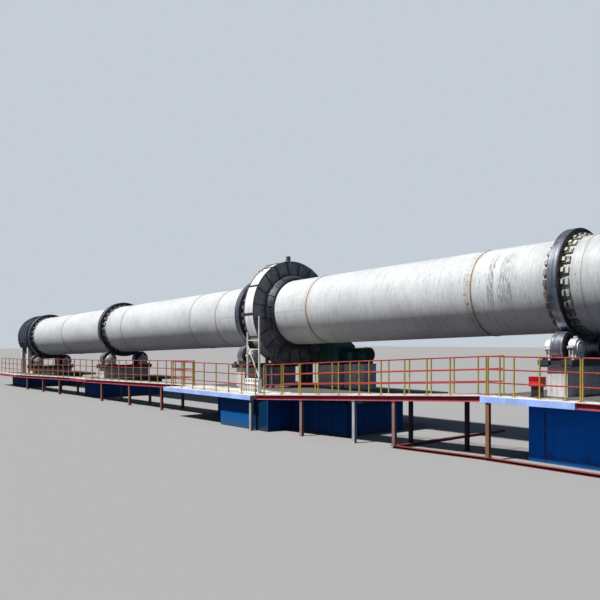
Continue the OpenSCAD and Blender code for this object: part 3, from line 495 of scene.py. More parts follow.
def weldFinish(name, gain):
    # brown at the rusty seams, grey at the feed end and where gain is low
    look = {"rust": (0.18, 0.085, 0.04), "grey": (0.43, 0.43, 0.42), "reach": 0.1}
    material, tree = startMaterial(name, 0.0, 0.35)
    line = linePlace(tree)
    rings = [(place, look["reach"], rust * gain) for place, rust in kilnLine["seams"].items()]
    amount = bandsAt(tree, axes(tree, line)["X"], rings, (0.0, 0.3))
    uneven = noise(tree, line, 18.0, 5.0, 0.7)
    brown = times(tree, amount, remap(tree, uneven, 0.3, 0.6, 0.5, 1.0))
    color = mixColor(tree, brown, rgb(look["grey"]), rgb(look["rust"]))
    color = mixColor(tree, remap(tree, uneven, 0.55, 0.7, 0.0, 0.5), color, rgb(look["rust"], 0.5))
    return closeMaterial(material, color, remap(tree, uneven, 0.3, 0.7, 0.55, 0.75), uneven, 0.004, 0.5)


def boxFinish():
    look = {"door": (0.66, 0.012, 0.018), "stand": (0.035, 0.033, 0.032), "dirt": (0.12, 0.11, 0.10),
            "rust": (0.20, 0.08, 0.03), "standTop": 1.124}
    material, tree = startMaterial("controlBoxPaint", 0.0, 0.5)
    place = ownPlace(tree)
    wear = worn(tree, place, rgb(look["door"]), look["dirt"], look["rust"], 0.35, 0.15, 0.25, 4.0)
    above = remap(tree, axes(tree, place)["Z"], look["standTop"] - 0.002, look["standTop"] + 0.002)
    return closeMaterial(material, mixColor(tree, above, rgb(look["stand"]), wear["Color"]), wear["Roughness"])


finishes = {"shell": shellFinish(), "pads": padFinish(), "flank": flankFinish(), "pier": pierFinish(),
            "slab": slabFinish(), "brick": brickFinish(), "box": boxFinish(), "columnPaint": columnFinish(),
            "rimSheet": rimFinish(), "weld": weldFinish("ringWeldRust", 1.0),
            "seamGrey": weldFinish("lengthWeld", 0.15),
            "tyre": treadFinish("tyreSteel", kilnLine["tyreRadius"], (0.31, 0.325, 0.385), (0.020, 0.020, 0.024))}

# plain weathered finishes: name, paint, dirt, rust, then streaks, patches, specks, scale and metallic
usualRust = (0.16, 0.06, 0.025)
plainFinishes = {
    "gear": ("gearSteel", (0.055, 0.055, 0.058), (0.015, 0.013, 0.012), usualRust, 0.5, 0.6, 0.3, 1.0, 0.6),
    "plinth": ("plinthConcrete", (0.60, 0.575, 0.56), (0.22, 0.205, 0.195), usualRust, 0.7, 0.6, 0.5, 1.6),
    "frame": ("frameSteel", (0.060, 0.062, 0.066), (0.025, 0.023, 0.021), usualRust, 0.5, 0.6, 0.6, 2.0, 0.3),
    "bearing": ("bearingPaint", (0.68, 0.69, 0.68), (0.16, 0.145, 0.12), usualRust, 0.75, 0.65, 0.4, 3.0, 0.25),
    "beam": ("beamPaint", (0.39, 0.050, 0.075), (0.14, 0.028, 0.034), (0.46, 0.24, 0.25), 0.4, 0.35, 0.25, 1.8),
    "sill": ("sillPaint", (0.25, 0.060, 0.050), (0.13, 0.06, 0.04), (0.45, 0.33, 0.26), 0.3, 0.55, 0.4, 1.6),
    # the channels' flange edges in pale pink: a painted highlight
    "beamEdgeHighlight": ("beamEdgeHighlightPaint", (0.50, 0.17, 0.165), (0.26, 0.06, 0.06), (0.62, 0.50, 0.46), 0.3, 0.5, 0.5, 2.0),
    "dark": ("darkSteel", (0.028, 0.028, 0.030), (0.012, 0.011, 0.010), (0.07, 0.045, 0.03), 0.4, 0.5, 0.4, 3.0, 0.3),
    # the rails' dirt colour is a paler pink: painted highlights along the tubes
    "rail": ("railPaint", (0.33, 0.024, 0.022), (0.38, 0.070, 0.060), (0.20, 0.025, 0.02), 0.25, 0.6, 0.3, 2.6),
    "post": ("postPaint", (0.38, 0.275, 0.050), (0.17, 0.125, 0.04), (0.55, 0.16, 0.03), 0.4, 0.45, 0.45, 4.0),
    "joint": ("guardJointPaint", (0.040, 0.042, 0.046), (0.015, 0.014, 0.013), usualRust, 0.4, 0.5, 0.4, 3.0, 0.2),
    "green": ("drivePaint", (0.010, 0.070, 0.066), (0.012, 0.022, 0.021), usualRust, 0.55, 0.5, 0.3, 2.0),
    "cowl": ("cowlPaint", (0.060, 0.074, 0.092), (0.022, 0.024, 0.028), (0.12, 0.07, 0.045), 0.5, 0.5, 0.4, 1.6, 0.2),
    "stand": ("standPaint", (0.66, 0.66, 0.60), (0.25, 0.23, 0.19), usualRust, 0.5, 0.4, 0.5, 4.0),
    "blocks": ("blockPaint", (0.80, 0.80, 0.77), (0.42, 0.39, 0.34), usualRust, 0.35, 0.35, 0.3, 4.0),
    "fascia": ("fasciaPaint", (0.36, 0.50, 0.90), (0.16, 0.22, 0.42), (0.55, 0.55, 0.55), 0.35, 0.3, 0.3, 2.0),
    "bolt": ("boltSteel", (0.10, 0.10, 0.105), (0.03, 0.028, 0.026), usualRust, 0.2, 0.5, 0.5, 10.0, 0.6)}
for finish, values in plainFinishes.items():
    finishes[finish] = weathered(*values)
print("finishes made:", len(finishes))

# which CAD nodes wear which finish
cadFinish = {"shell": ["shell"], "brick": ["lining"], "pads": ["tyre_pads"],
             "gear": ["girth_gear", "gear_plates", "pinion"],
             "slab": ["platform_slabs", "walkway_decks"], "plinth": ["roller_plinths", "drive_base"],
             "frame": ["roller_frames", "pinion_bearings"], "bearing": ["roller_bearings"], "beam": ["edge_beams"],
             "columnPaint": ["walkway_columns"], "sill": ["ground_sills"], "rimSheet": ["guard_rim"],
             "flank": ["guard_flank_left", "guard_flank_right"], "green": ["gearbox", "drive_motor"],
             "cowl": ["discharge_cowl", "feed_cowl"], "stand": ["cowl_stands", "access_stand"],
             "blocks": ["block_stack"], "box": ["control_box"], "tyre": ["tyre_%d" % n for n in (1, 2, 3, 4)],
             "pier": ["pier_%d" % n for n in (1, 2, 3, 4)]}
for side, sign in bothSides:
    center = (sign * kilnLine["rollerOut"], kilnLine["rollerDown"])
    finishes["roller" + side] = treadFinish("rollerSteel_" + side, kilnLine["rollerRadius"], (0.42, 0.45, 0.49),
                                            (0.035, 0.036, 0.038), center)
    cadFinish["roller" + side] = ["roller_%d_%s" % (n, side) for n in (1, 2, 3, 4)]
for finish, names in cadFinish.items():
    for name in names:
        cadNodes[name].data.materials.clear()
        cadNodes[name].data.materials.append(finishes[finish])


# mesh helpers
def addBox(shape, low, high, place=None, bevel=0.0):
    # corners given the wrong way round turn the bevel outwards
    made = bmesh.ops.create_cube(shape, size=1.0)["verts"]
    for v in made:
        v.co = Vector([low[i] + (v.co[i] + 0.5) * (high[i] - low[i]) for i in range(3)])
    if bevel:
        edges = {e for v in made for e in v.link_edges}
        made = bmesh.ops.bevel(shape, geom=list(edges), offset=bevel, segments=1, affect="EDGES")["verts"]
    if place:
        bmesh.ops.transform(shape, matrix=place, verts=list(made))


def addTube(shape, a, b, radius, sides=12, place=None):
    a, b = Vector(a), Vector(b)
    spot = Matrix.Translation((a + b) / 2) @ (b - a).to_track_quat("Z", "Y").to_matrix().to_4x4()
    if place:
        spot = place @ spot
    bmesh.ops.create_cone(shape, cap_ends=True, segments=sides, radius1=radius, radius2=radius,
                          depth=(b - a).length, matrix=spot)


def addSpin(shape, profile, sides, place, close=True, start=0.0, sweep=360.0):
    # profile of (along, out) pairs, turned round the X axis
    whole = sweep > 359.9
    count = sides if whole else sides + 1
    angles = [math.radians(start + sweep * k / sides) for k in range(count)]
    rings = [[shape.verts.new((x, r * math.sin(a), r * math.cos(a))) for x, r in profile] for a in angles]
    n = len(profile)
    for k in range(sides):
        one, two = rings[k], rings[(k + 1) % count]
        for i in range(n if close else n - 1):
            j = (i + 1) % n
            shape.faces.new((one[i], one[j], two[j], two[i]))
    if not whole and close:
        shape.faces.new(rings[0])
        shape.faces.new(list(reversed(rings[-1])))
    bmesh.ops.transform(shape, matrix=place, verts=[v for ring in rings for v in ring])


def addHoop(shape, a, b, inner, outer, sides, place, start=0.0, sweep=360.0):
    # ring with a square section, from a to b along the axis
    addSpin(shape, [(a, inner), (a, outer), (b, outer), (b, inner)], sides, place, True, start, sweep)


def kilnSpot(x, y=0.0, z=0.0, way=1):
    # frame on the kiln's line; way -1 turns it to look the other way along
    spot = onAxis @ Matrix.Translation((x, y, z))
    return spot @ Matrix.Rotation(math.pi, 4, "Z") if way < 0 else spot


def turnBy(spot, degrees):
    return spot @ Matrix.Rotation(math.radians(degrees), 4, "X")


def finishMesh(mesh, name, finish, body, replaced=(), smooth=True):
    if not mesh.materials:
        mesh.materials.append(finishes[finish])
    if smooth:
        for face in mesh.polygons:
            face.use_smooth = True
        mesh.set_sharp_from_angle(angle=math.radians(32))
    piece = addObject(name, mesh)
    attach(piece, body)
    if replaced:
        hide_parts(*replaced)


def finishShape(shape, name, finish, body, smooth=True):
    bmesh.ops.remove_doubles(shape, verts=shape.verts, dist=0.00001)
    bmesh.ops.recalc_face_normals(shape, faces=shape.faces)
    mesh = bpy.data.meshes.new(name)
    shape.to_mesh(mesh)
    shape.free()
    finishMesh(mesh, name, finish, body, smooth=smooth)


# geometry node helpers
def startTree(name, inputs):
    return startGroup(name, [("Geometry", "Geometry", None)] + inputs + [("Material", "Material", None)],
                      [("Geometry", "Geometry")], "GeometryNodeTree")


def endTree(tree, end, geometry, start):
    real = put(tree, "GeometryNodeRealizeInstances", {0: geometry}).outputs[0]
    done = put(tree, "GeometryNodeSetMaterial", {"Geometry": real, "Material": start.outputs["Material"]})
    tree.links.new(done.outputs[0], end.inputs[0])
    return tree


def runTree(mesh, tree, values, finish):
    # evaluates the tree on a mesh and gives back a plain mesh
    values = dict(values, Material=finishes[finish])
    holder = addObject("holder", mesh)
    step = holder.modifiers.new("make", "NODES")
    step.node_group = tree
    for item in tree.interface.items_tree:
        if item.in_out == "INPUT" and item.name in values:
            step[item.identifier] = values[item.name]
    made = bpy.data.meshes.new_from_object(holder.evaluated_get(bpy.context.evaluated_depsgraph_get()))
    holder.modifiers.clear()
    bpy.data.objects.remove(holder)
    return made


def cube(tree, size):
    return put(tree, "GeometryNodeMeshCube", {"Size": size}).outputs[0]


def cylinder(tree, sides, radius, height):
    return put(tree, "GeometryNodeMeshCylinder", {"Vertices": sides, "Radius": radius, "Depth": height}).outputs[0]


def circle(tree, points, radius):
    return put(tree, "GeometryNodeCurvePrimitiveCircle", {"Resolution": points, "Radius": radius}).outputs[0]


def shift(tree, geometry, move, turn=(0.0, 0.0, 0.0)):
    return put(tree, "GeometryNodeTransform", {0: geometry, "Translation": move, "Rotation": turn}).outputs[0]


def join(tree, *parts):
    both = put(tree, "GeometryNodeJoinGeometry")
    for part in parts:
        tree.links.new(part, both.inputs[0])
    return both.outputs[0]


def copies(tree, points, what, turn=(0.0, 0.0, 0.0)):
    values = {"Points": points, "Instance": what, "Rotation": turn}
    return put(tree, "GeometryNodeInstanceOnPoints", values).outputs[0]


def eulerTurn(tree, x=0.0, z=0.0):
    return put(tree, "FunctionNodeEulerToRotation", {0: xyz(tree, x, 0.0, z)}).outputs[0]


def pointMesh(places, edges=(), label=None, kind=None, values=(), field="value"):
    # loose points or paths, with one attribute if it has a label
    mesh = bpy.data.meshes.new("points")
    mesh.from_pydata([tuple(p) for p in places], edges, [])
    if label:
        for item, value in zip(mesh.attributes.new(label, kind, "POINT").data, values):
            setattr(item, field, value)
    return mesh


def alongKiln(name, places, tree, values, finish, body, smooth=False):
    # runs a tree at places along the kiln's line
    made = runTree(pointMesh([(x, 0, 0) for x in places]), tree, values, finish)
    made.transform(onAxis)
    finishMesh(made, name, finish, body, smooth=smooth)


# bolts: a head on a washer at each point, facing the way that is kept with it
def boltTree():
    tree, start, end = startTree("boltsOnPoints", [("Head Radius", "Float", 0.012),
                                 ("Head Height", "Float", 0.009), ("Washer", "Float", 1.35), ("Sides", "Int", 6)])
    radius, height = start.outputs["Head Radius"], start.outputs["Head Height"]
    head = cylinder(tree, start.outputs["Sides"], radius, height)
    head = shift(tree, head, xyz(tree, z=times(tree, height, 0.62)))
    washer = cylinder(tree, 12, times(tree, radius, start.outputs["Washer"]), times(tree, height, 0.35))
    facing = put(tree, "GeometryNodeInputNamedAttribute", {0: "facing"}, data_type="FLOAT_VECTOR").outputs[0]
    turn = put(tree, "FunctionNodeAlignRotationToVector", {"Vector": facing}, axis="Z").outputs[0]
    return endTree(tree, end, copies(tree, start.outputs[0], join(tree, head, washer), turn), start)


boltsOnPoints = boltTree()


def boltAt(bolts, spot, place, way=(0, 0, 1)):
    bolts.append((spot @ Vector(place), spot.to_3x3() @ Vector(way)))


def boltRing(bolts, spot, x, out, count, start=0.0, way=1):
    for k in range(count):
        a = math.radians(360 / count * k + start)
        boltAt(bolts, spot, (x, out * math.sin(a), out * math.cos(a)), (way, 0, 0))


def addBolts(name, bolts, size, body, finish="bolt"):
    points = pointMesh([b[0] for b in bolts], (), "facing", "FLOAT_VECTOR", [tuple(b[1]) for b in bolts], "vector")
    made = runTree(points, boltsOnPoints, {"Head Radius": size, "Head Height": size * 0.75}, finish)
    finishMesh(made, name, finish, body, smooth=False)


# railings: posts stand on the path's points and three tubes follow the path
def railTree():
    tree, start, end = startTree("railing", [("Height", "Float", 0.6), ("Post Width", "Float", 0.024),
                                 ("Tube Radius", "Float", 0.0105), ("Posts", "Bool", True)])
    tall = calc(tree, "SUBTRACT", start.outputs["Height"], 0.006)
    width = start.outputs["Post Width"]
    post = cube(tree, xyz(tree, width, width, tall))
    post = shift(tree, post, xyz(tree, z=calc(tree, "MULTIPLY_ADD", tall, 0.5, 0.0004)))
    foot = shift(tree, cube(tree, (0.06, 0.06, 0.006)), (0, 0, 0.0035))
    turn = put(tree, "GeometryNodeInputNamedAttribute", {0: "turn"}, data_type="FLOAT").outputs[0]
    posts = copies(tree, start.outputs[0], join(tree, post, foot), eulerTurn(tree, z=turn))
    path = put(tree, "GeometryNodeMeshToCurve", {0: start.outputs[0]}).outputs[0]
    section = circle(tree, 12, start.outputs["Tube Radius"])
    tubes = []
    for share in (1.0 / 3, 2.0 / 3, 1.0):
        level = shift(tree, path, xyz(tree, z=times(tree, start.outputs["Height"], share)))
        tubes.append(put(tree, "GeometryNodeCurveToMesh", {"Curve": level, "Profile Curve": section,
                         "Fill Caps": True}).outputs[0])
    pick = put(tree, "GeometryNodeSwitch", {0: start.outputs["Posts"], 1: join(tree, *tubes), 2: posts},
               input_type="GEOMETRY").outputs[0]
    return endTree(tree, end, pick, start)


def pathMesh(runs):
    # each run is a list of points; edges join a run's points in turn
    spots, edges, turns = [], [], []
    for run in runs:
        for k, p in enumerate(run):
            a, b = run[max(0, k - 1)], run[min(len(run) - 1, k + 1)]
            if k:
                edges.append((len(spots) - 1, len(spots)))
            spots.append(p)
            turns.append(math.atan2(b[1] - a[1], b[0] - a[0]))
    return pointMesh(spots, edges, "turn", "FLOAT", turns)


railings = {"deck": [0.5, 0.6, 0.71, 0.965], "near": -1.415, "wide": -2.095, "height": 0.6, "tube": 0.0105,
            "post": 0.019, "spacing": 0.48, "boltOut": 0.021,
            "walkPosts": [2.4825, 2.975, 3.485, 3.94, 4.435, 4.91, 5.385, 5.87, 6.305, 6.735, 7.3595],
            "lastPosts": [7.3905, 7.595, 7.835, 8.25, 8.645, 8.8595]}
# the walkway that runs askew: where its outer edge starts, and how far that edge runs, shifts and rises
askew = {"from": (2.465, -2.135), "run": 4.91, "shift": 0.535, "low": 0.71, "rise": 0.255}


def evenRun(a, b):
    # posts at equal steps from a to b
    a, b = Vector(a), Vector(b)
    run = (b - a).normalized()
    a, b = a + run * 0.0125, b - run * 0.0125
    steps = max(1, math.ceil((b - a).xy.length / railings["spacing"]))
    return [a.lerp(b, k / steps) for k in range(steps + 1)]


def postRun(a, b, places):
    # posts at given places along the kiln
    a, b = Vector(a), Vector(b)
    return [a.lerp(b, (x - a.x) / (b.x - a.x)) for x in places]


def skewPoint(x, inside):
    # point on that walkway's deck, so far inside its outer edge
    turn = math.atan2(askew["shift"], askew["run"])
    fromX, fromY = askew["from"]
    y = fromY + (x - fromX) * math.tan(turn) + inside
    run = (x - fromX) * math.cos(turn) + (y - fromY) * math.sin(turn)
    return (x, y, askew["low"] + run * askew["rise"] / math.hypot(askew["shift"], askew["run"]))


def makeRailings():
    d, near, wide = railings["deck"], railings["near"], railings["wide"]

    def level(platform, x0, x1, y0=near, y1=None):
        return evenRun((x0, y0, d[platform - 1]), (x1, y0 if y1 is None else y1, d[platform - 1]))

    runs = {
        "railing_1": [level(1, -15.86, -13.503), evenRun((-13.497, near, d[0]), (-8.403, near, d[1]))],
        "railing_2": [level(2, -8.397, -7.003), evenRun((-6.997, near, d[1]), (-1.003, near, d[2]))],
        "railing_3": [level(3, -0.96, 2.405, wide), level(3, -0.96, -0.96, wide + 0.04, near - 0.04),
                      postRun(skewPoint(2.47, 0.185), skewPoint(7.372, 0.185), railings["walkPosts"]),
                      evenRun(skewPoint(2.505, 0.66), skewPoint(7.372, 0.66))],
        "railing_4": [postRun((7.378, near, d[3]), (8.872, near, d[3]), railings["lastPosts"]),
                      level(4, 8.878, 10.46), level(4, 7.415, 8.835, 1.54)]}
    tree = railTree()
    for node, parts in runs.items():
        for label, posts, finish in (("Posts", True, "post"), ("Tubes", False, "rail")):
            made = runTree(pathMesh(parts), tree, {"Height": railings["height"], "Post Width": railings["post"],
                           "Tube Radius": railings["tube"], "Posts": posts}, finish)
            finishMesh(made, "railing%s_%s" % (label, node[-1]), finish, "plant", [node])
    out = railings["boltOut"]
    bolts = [(p + Vector((s * out, s * out, 0.0072)), (0, 0, 1))
             for parts in runs.values() for run in parts for p in run for s in (-1, 1)]
    addBolts("railingBolts", bolts, 0.0045, "plant")


# ring welds and short lengthwise welds of the shell
def weldTree():
    tree, start, end = startTree("weldRing", [("Radius", "Float", 0.753), ("Bead", "Float", 0.008),
                                              ("Rough", "Float", 0.003), ("Seed", "Float", 3.0)])
    ring, section = circle(tree, 220, start.outputs["Radius"]), circle(tree, 8, start.outputs["Bead"])
    bead = put(tree, "GeometryNodeCurveToMesh", {"Curve": ring, "Profile Curve": section}).outputs[0]
    grain = put(tree, "ShaderNodeTexNoise", {"W": start.outputs["Seed"], "Scale": 30.0, "Detail": 2.0},
                noise_dimensions="4D").outputs[0]
    push = times(tree, calc(tree, "SUBTRACT", grain, 0.5), start.outputs["Rough"])
    normal = put(tree, "GeometryNodeInputNormal").outputs[0]
    move = scaleBy(tree, normal, push)
    rough = put(tree, "GeometryNodeSetPosition", {0: bead, "Offset": move}).outputs[0]
    upright = shift(tree, rough, (0.0, 0.0, 0.0), (0.0, math.radians(90), 0.0))
    return endTree(tree, end, copies(tree, start.outputs[0], upright), start)


def makeWelds():
    look = {"radius": 0.7515, "bead": 0.0065, "rough": 0.004, "seed": 4.0, "half": 0.005, "proud": 0.0014,
            "step": 0.12, "wobble": 0.0012,
            "plates": [(-15.8, -11.2, 38), (-11.2, -6.4, 150), (-6.4, -2.35, -62), (-2.35, -1.1, -150),
                       (-1.1, 2.4, 92), (2.4, 6.6, 200), (6.6, 8.525, -118), (8.525, 10.7, 170)]}
    alongKiln("ringWelds", kilnLine["seams"], weldTree(), {"Radius": look["radius"], "Bead": look["bead"],
              "Rough": look["rough"], "Seed": look["seed"]}, "weld", "kiln", True)
    shape = bmesh.new()
    radius, half = kilnLine["shellRadius"], look["half"]
    for low, high, angle in look["plates"]:
        spot = turnBy(onAxis, angle)
        length = high - low
        steps = max(4, int(length / look["step"]))
        for k in range(steps):
            wobble = look["wobble"] * math.sin(k * 2.3)
            addBox(shape, (low + length * k / steps, -half + wobble, radius - 0.002),
                   (low + length * (k + 1) / steps + 0.004, half + wobble, radius + look["proud"]), spot)
    finishShape(shape, "lengthWelds", "seamGrey", "kiln", smooth=False)


# the same small box all round the kiln's line, at each point that comes in
def roundTree():
    tree, start, end = startTree("boxesRound", [("Out", "Float", 0.79), ("Count", "Int", 28),
                                 ("Size", "Vector", (0.05, 0.07, 0.03)), ("Lean", "Float", 0.0)])
    box = shift(tree, cube(tree, start.outputs["Size"]), *[xyz(tree, z=start.outputs[s]) for s in ("Out", "Lean")])
    row = put(tree, "GeometryNodeMeshLine", {"Count": start.outputs["Count"], "Offset": (0, 0, 0)}).outputs[0]
    number, fullTurn = put(tree, "GeometryNodeInputIndex").outputs[0], 6.283185307
    angle = calc(tree, "DIVIDE", times(tree, number, fullTurn), start.outputs["Count"])
    ring = copies(tree, row, box, eulerTurn(tree, angle))
    return endTree(tree, end, copies(tree, start.outputs[0], ring), start)


boxesRound = roundTree()


# tyre pad stops: a block with a dark rib on each pad, both sides of every tyre; the rib's dark paint is a painted
# shadow at the pad's end
def makeStops():
    look = {"count": 28, "side": 0.043, "width": 0.064, "height": 0.026, "gap": 0.006, "padTop": 0.7853,
            "ribOut": 0.034, "rib": (0.012, 0.090, 0.014)}
    away = kilnLine["tyreWidth"] / 2 + look["gap"] + look["side"] / 2
    block = (look["side"], look["width"], look["height"])
    rows = [("padStops", away, look["padTop"] + look["height"] / 2 - 0.001, block, "pads"),
            ("padShadowRibs", away + look["ribOut"], look["padTop"] + 0.006, look["rib"], "joint")]
    for name, beside, out, size, finish in rows:
        places = [t + s * beside for t in kilnLine["tyres"] for s in (-1, 1)]
        values = {"Out": out, "Count": look["count"], "Size": size}
        alongKiln(name, places, boxesRound, values, finish, "kiln")


# gear guard: radial joints, rim straps, angle rings, rods
def makeGuard():
    look = {"joints": 20, "plateOuter": 1.218, "coneRadius": 0.9, "eye": 0.775, "coneReach": 0.18,
            "boltsOut": (0.95, 1.03, 1.11, 1.19), "lipBolts": 40, "strapTop": 1.214, "rodOut": 1.235,
            "straps": (-84, -66, -30, 10, 30, 60, 92, 118, 150, 176), "rods": ((24, 0.17), (38, 0.14))}
    half, cone, eye = kilnLine["guardWidth"] / 2, look["coneRadius"], look["eye"]
    face = half + 0.0083
    lip = face + look["coneReach"]
    shape, bolts = bmesh.new(), []
    for way in (-1, 1):
        base = kilnSpot(kilnLine["gearAt"], way=way)
        for k in range(look["joints"]):
            turned = turnBy(base, 360 * (k + 0.5) / look["joints"])
            addBox(shape, (face - 0.001, -0.012, cone + 0.004), (face + 0.014, 0.012, look["plateOuter"]), turned)
            # the joint goes on along the cone
            run = Vector((look["coneReach"] - 0.012, 0, eye + 0.018 - cone))
            slope = Matrix.Rotation(math.atan2(-run.z, run.x), 4, "Y")
            spot = turned @ Matrix.Translation((face, 0, cone)) @ slope
            addBox(shape, (0.0, -0.010, -0.002), (run.length, 0.010, 0.013), spot)
            for out in look["boltsOut"]:
                boltAt(bolts, turned, (face + 0.014, 0, out), (1, 0, 0))
        addHoop(shape, lip - 0.012, lip + 0.008, eye + 0.002, eye + 0.030, 96, base)
        boltRing(bolts, base, lip + 0.008, eye + 0.017, look["lipBolts"])
    finishShape(shape, "guardJoints", "joint", "plant")
    # straps over the white rim sheet
    shape, middle = bmesh.new(), kilnSpot(kilnLine["gearAt"])
    for degrees in look["straps"]:
        spot = turnBy(middle, degrees)
        addBox(shape, (-half - 0.02, -0.019, 1.197), (half + 0.02, 0.019, look["strapTop"]), spot)
        for x in (-0.13, 0.0, 0.13):
            boltAt(bolts, spot, (x, 0, look["strapTop"]))
    finishShape(shape, "rimStraps", "joint", "plant", smooth=False)
    addBolts("guardBolts", bolts, 0.0075, "plant")
    # thin rods that stand out over the rim
    shape, out = bmesh.new(), look["rodOut"]
    for degrees, reach in look["rods"]:
        spot = turnBy(middle, degrees)
        addTube(shape, (-0.05, 0, 1.19), (-0.05, 0, out), 0.007, 8, spot)
        addTube(shape, (0.03, 0, out), (-0.05 - reach, 0, out), 0.006, 8, spot)
    finishShape(shape, "guardRods", "joint", "plant")


# edge strips on the platforms: low end, high end, near edge, top, finish
def makeFascia():
    look = {"thick": 0.007, "high": 0.094, "cut": 0.9, "edgeHigh": 0.008, "platforms": [
            (-15.9, -13.5, -1.6, 0.5, "beam"), (-8.4, -7.0, -1.6, 0.6, "beam"),
            (-1.0, 2.465, -2.28, 0.71, "fascia"), (7.375, 8.875, -1.6, 0.965, "fascia")]}
    for finish, name in (("beam", "redFascia"), ("fascia", "blueFascia")):
        shape = bmesh.new()
        for low, high, near, top, kind in look["platforms"]:
            if kind == finish:
                under, over = top - look["high"], top - 0.001
                cuts = max(1, round((high - low) / look["cut"]))
                ends = [low + (high - low) * k / cuts for k in range(cuts + 1)]
                for a, b in zip(ends, ends[1:]):
                    addBox(shape, (a + 0.001, near - look["thick"], under), (b - 0.001, near - 0.0003, over),
                           bevel=0.001)
                addBox(shape, (low - 0.006, near, under), (low - 0.0003, -near * 0.6, over))
        finishShape(shape, name, finish, "plant", smooth=False)
    # pale edges on the flanges of the walkways' channels: painted highlights where the flanges catch the light
    shape = bmesh.new()
    runs = [((-13.4997, -1.6, 0.5), (-8.4003, -1.6, 0.6)), ((-6.9997, -1.6, 0.6), (-1.0003, -1.6, 0.71)),
            ((8.8753, -1.6, 0.965), (10.5, -1.6, 0.965)), (skewPoint(2.4655, 0.0), skewPoint(7.3747, 0.0))]
    for a, b in runs:
        a, b = Vector(a), Vector(b)
        spot = Matrix.Translation(a) @ (b - a).to_track_quat("X", "Z").to_matrix().to_4x4()
        for z in (-0.0885, -0.0065):
            addBox(shape, (0.002, -0.0025, z), ((b - a).length - 0.002, 0.0, z + look["edgeHigh"]), spot)
    finishShape(shape, "beamEdgeHighlights", "beamEdgeHighlight", "plant", smooth=False)


# bearing housings: cap flanges, ribs, end covers, bolts
def makeBearings():
    look = {"beside": 0.189, "length": 0.11, "cover": 0.098, "flange": 0.168, "boltCircle": 0.078, "foot": -0.151}
    shape, bolts = bmesh.new(), []
    half, cover, foot = look["length"] / 2, look["cover"], look["foot"]
    lid = [(half + 0.009, 0.0), (half + 0.030, 0.0), (half + 0.030, 0.046), (half + 0.022, 0.052),
           (half + 0.022, cover - 0.006), (half + 0.016, cover), (half + 0.009, cover)]
    places = [(t, side, e) for t in kilnLine["tyres"] for side in (-1, 1) for e in (-1, 1)]
    for t, side, e in places:
        spot = kilnSpot(t + e * look["beside"], side * kilnLine["rollerOut"], kilnLine["rollerDown"], e)
        addSpin(shape, lid, 40, spot, close=False)
        boltRing(bolts, spot, half + 0.022, look["boltCircle"], 8, 22.5)
        for s in (-1, 1):
            # at s = 1 these corners are the wrong way round, so that block's bevel turns outwards
            addBox(shape, (-half + 0.004, s * look["flange"] - 0.012, -0.004),
                   (half - 0.004, s * 0.118 + 0.012, 0.024), spot, 0.003)
            for x in (-0.03, 0.03):
                boltAt(bolts, spot, (x, s * 0.155, 0.024))
                boltAt(bolts, spot, (x, s * 0.172, foot))
            for x in (-0.028, 0.028):
                addBox(shape, (x - 0.005, s * 0.110, foot), (x + 0.005, s * 0.158, -0.03), spot)
        addBox(shape, (-0.008, -0.05, 0.128), (0.008, 0.05, 0.148), spot, 0.003)
    finishShape(shape, "bearingTrim", "bearing", "plant")
    addBolts("bearingBolts", bolts, 0.0085, "plant")


# walkway columns: foot and cap plates with their bolts
def solidBoxes(name):
    # low and high corner of each separate solid in a CAD node
    node = cadNodes[name]
    shape = bmesh.new()
    shape.from_mesh(node.data)
    bmesh.ops.remove_doubles(shape, verts=shape.verts, dist=0.00001)
    left, boxes = set(shape.verts), []
    while left:
        island, edge = [], [left.pop()]
        while edge:
            v = edge.pop()
            island.append(node.matrix_world @ v.co)
            for other in [e.other_vert(v) for e in v.link_edges]:
                if other in left:
                    left.discard(other)
                    edge.append(other)
        boxes.append([[pick(p[i] for p in island) for i in range(3)] for pick in (min, max)])
    shape.free()
    return boxes


def makeColumns():
    look = {"foot": 0.014, "cap": 0.012, "plate": 0.007, "boltIn": 0.006, "bolt": 0.0065}
    shape, bolts = bmesh.new(), []
    for low, high in solidBoxes("walkway_columns"):
        for edge, z in ((look["foot"], low[2] + 0.0006), (look["cap"], high[2] - look["plate"] - 0.001)):
            addBox(shape, (low[0] - edge, low[1] - edge, z), (high[0] + edge, high[1] + edge, z + look["plate"]),
                   bevel=0.001)
        for x in (low[0] - look["boltIn"], high[0] + look["boltIn"]):
            for y in (low[1] - look["boltIn"], high[1] + look["boltIn"]):
                bolts.append(((x, y, low[2] + look["plate"] + 0.001), (0, 0, 1)))
    finishShape(shape, "columnPlates", "columnPaint", "plant", smooth=False)
    addBolts("columnBolts", bolts, look["bolt"], "plant")


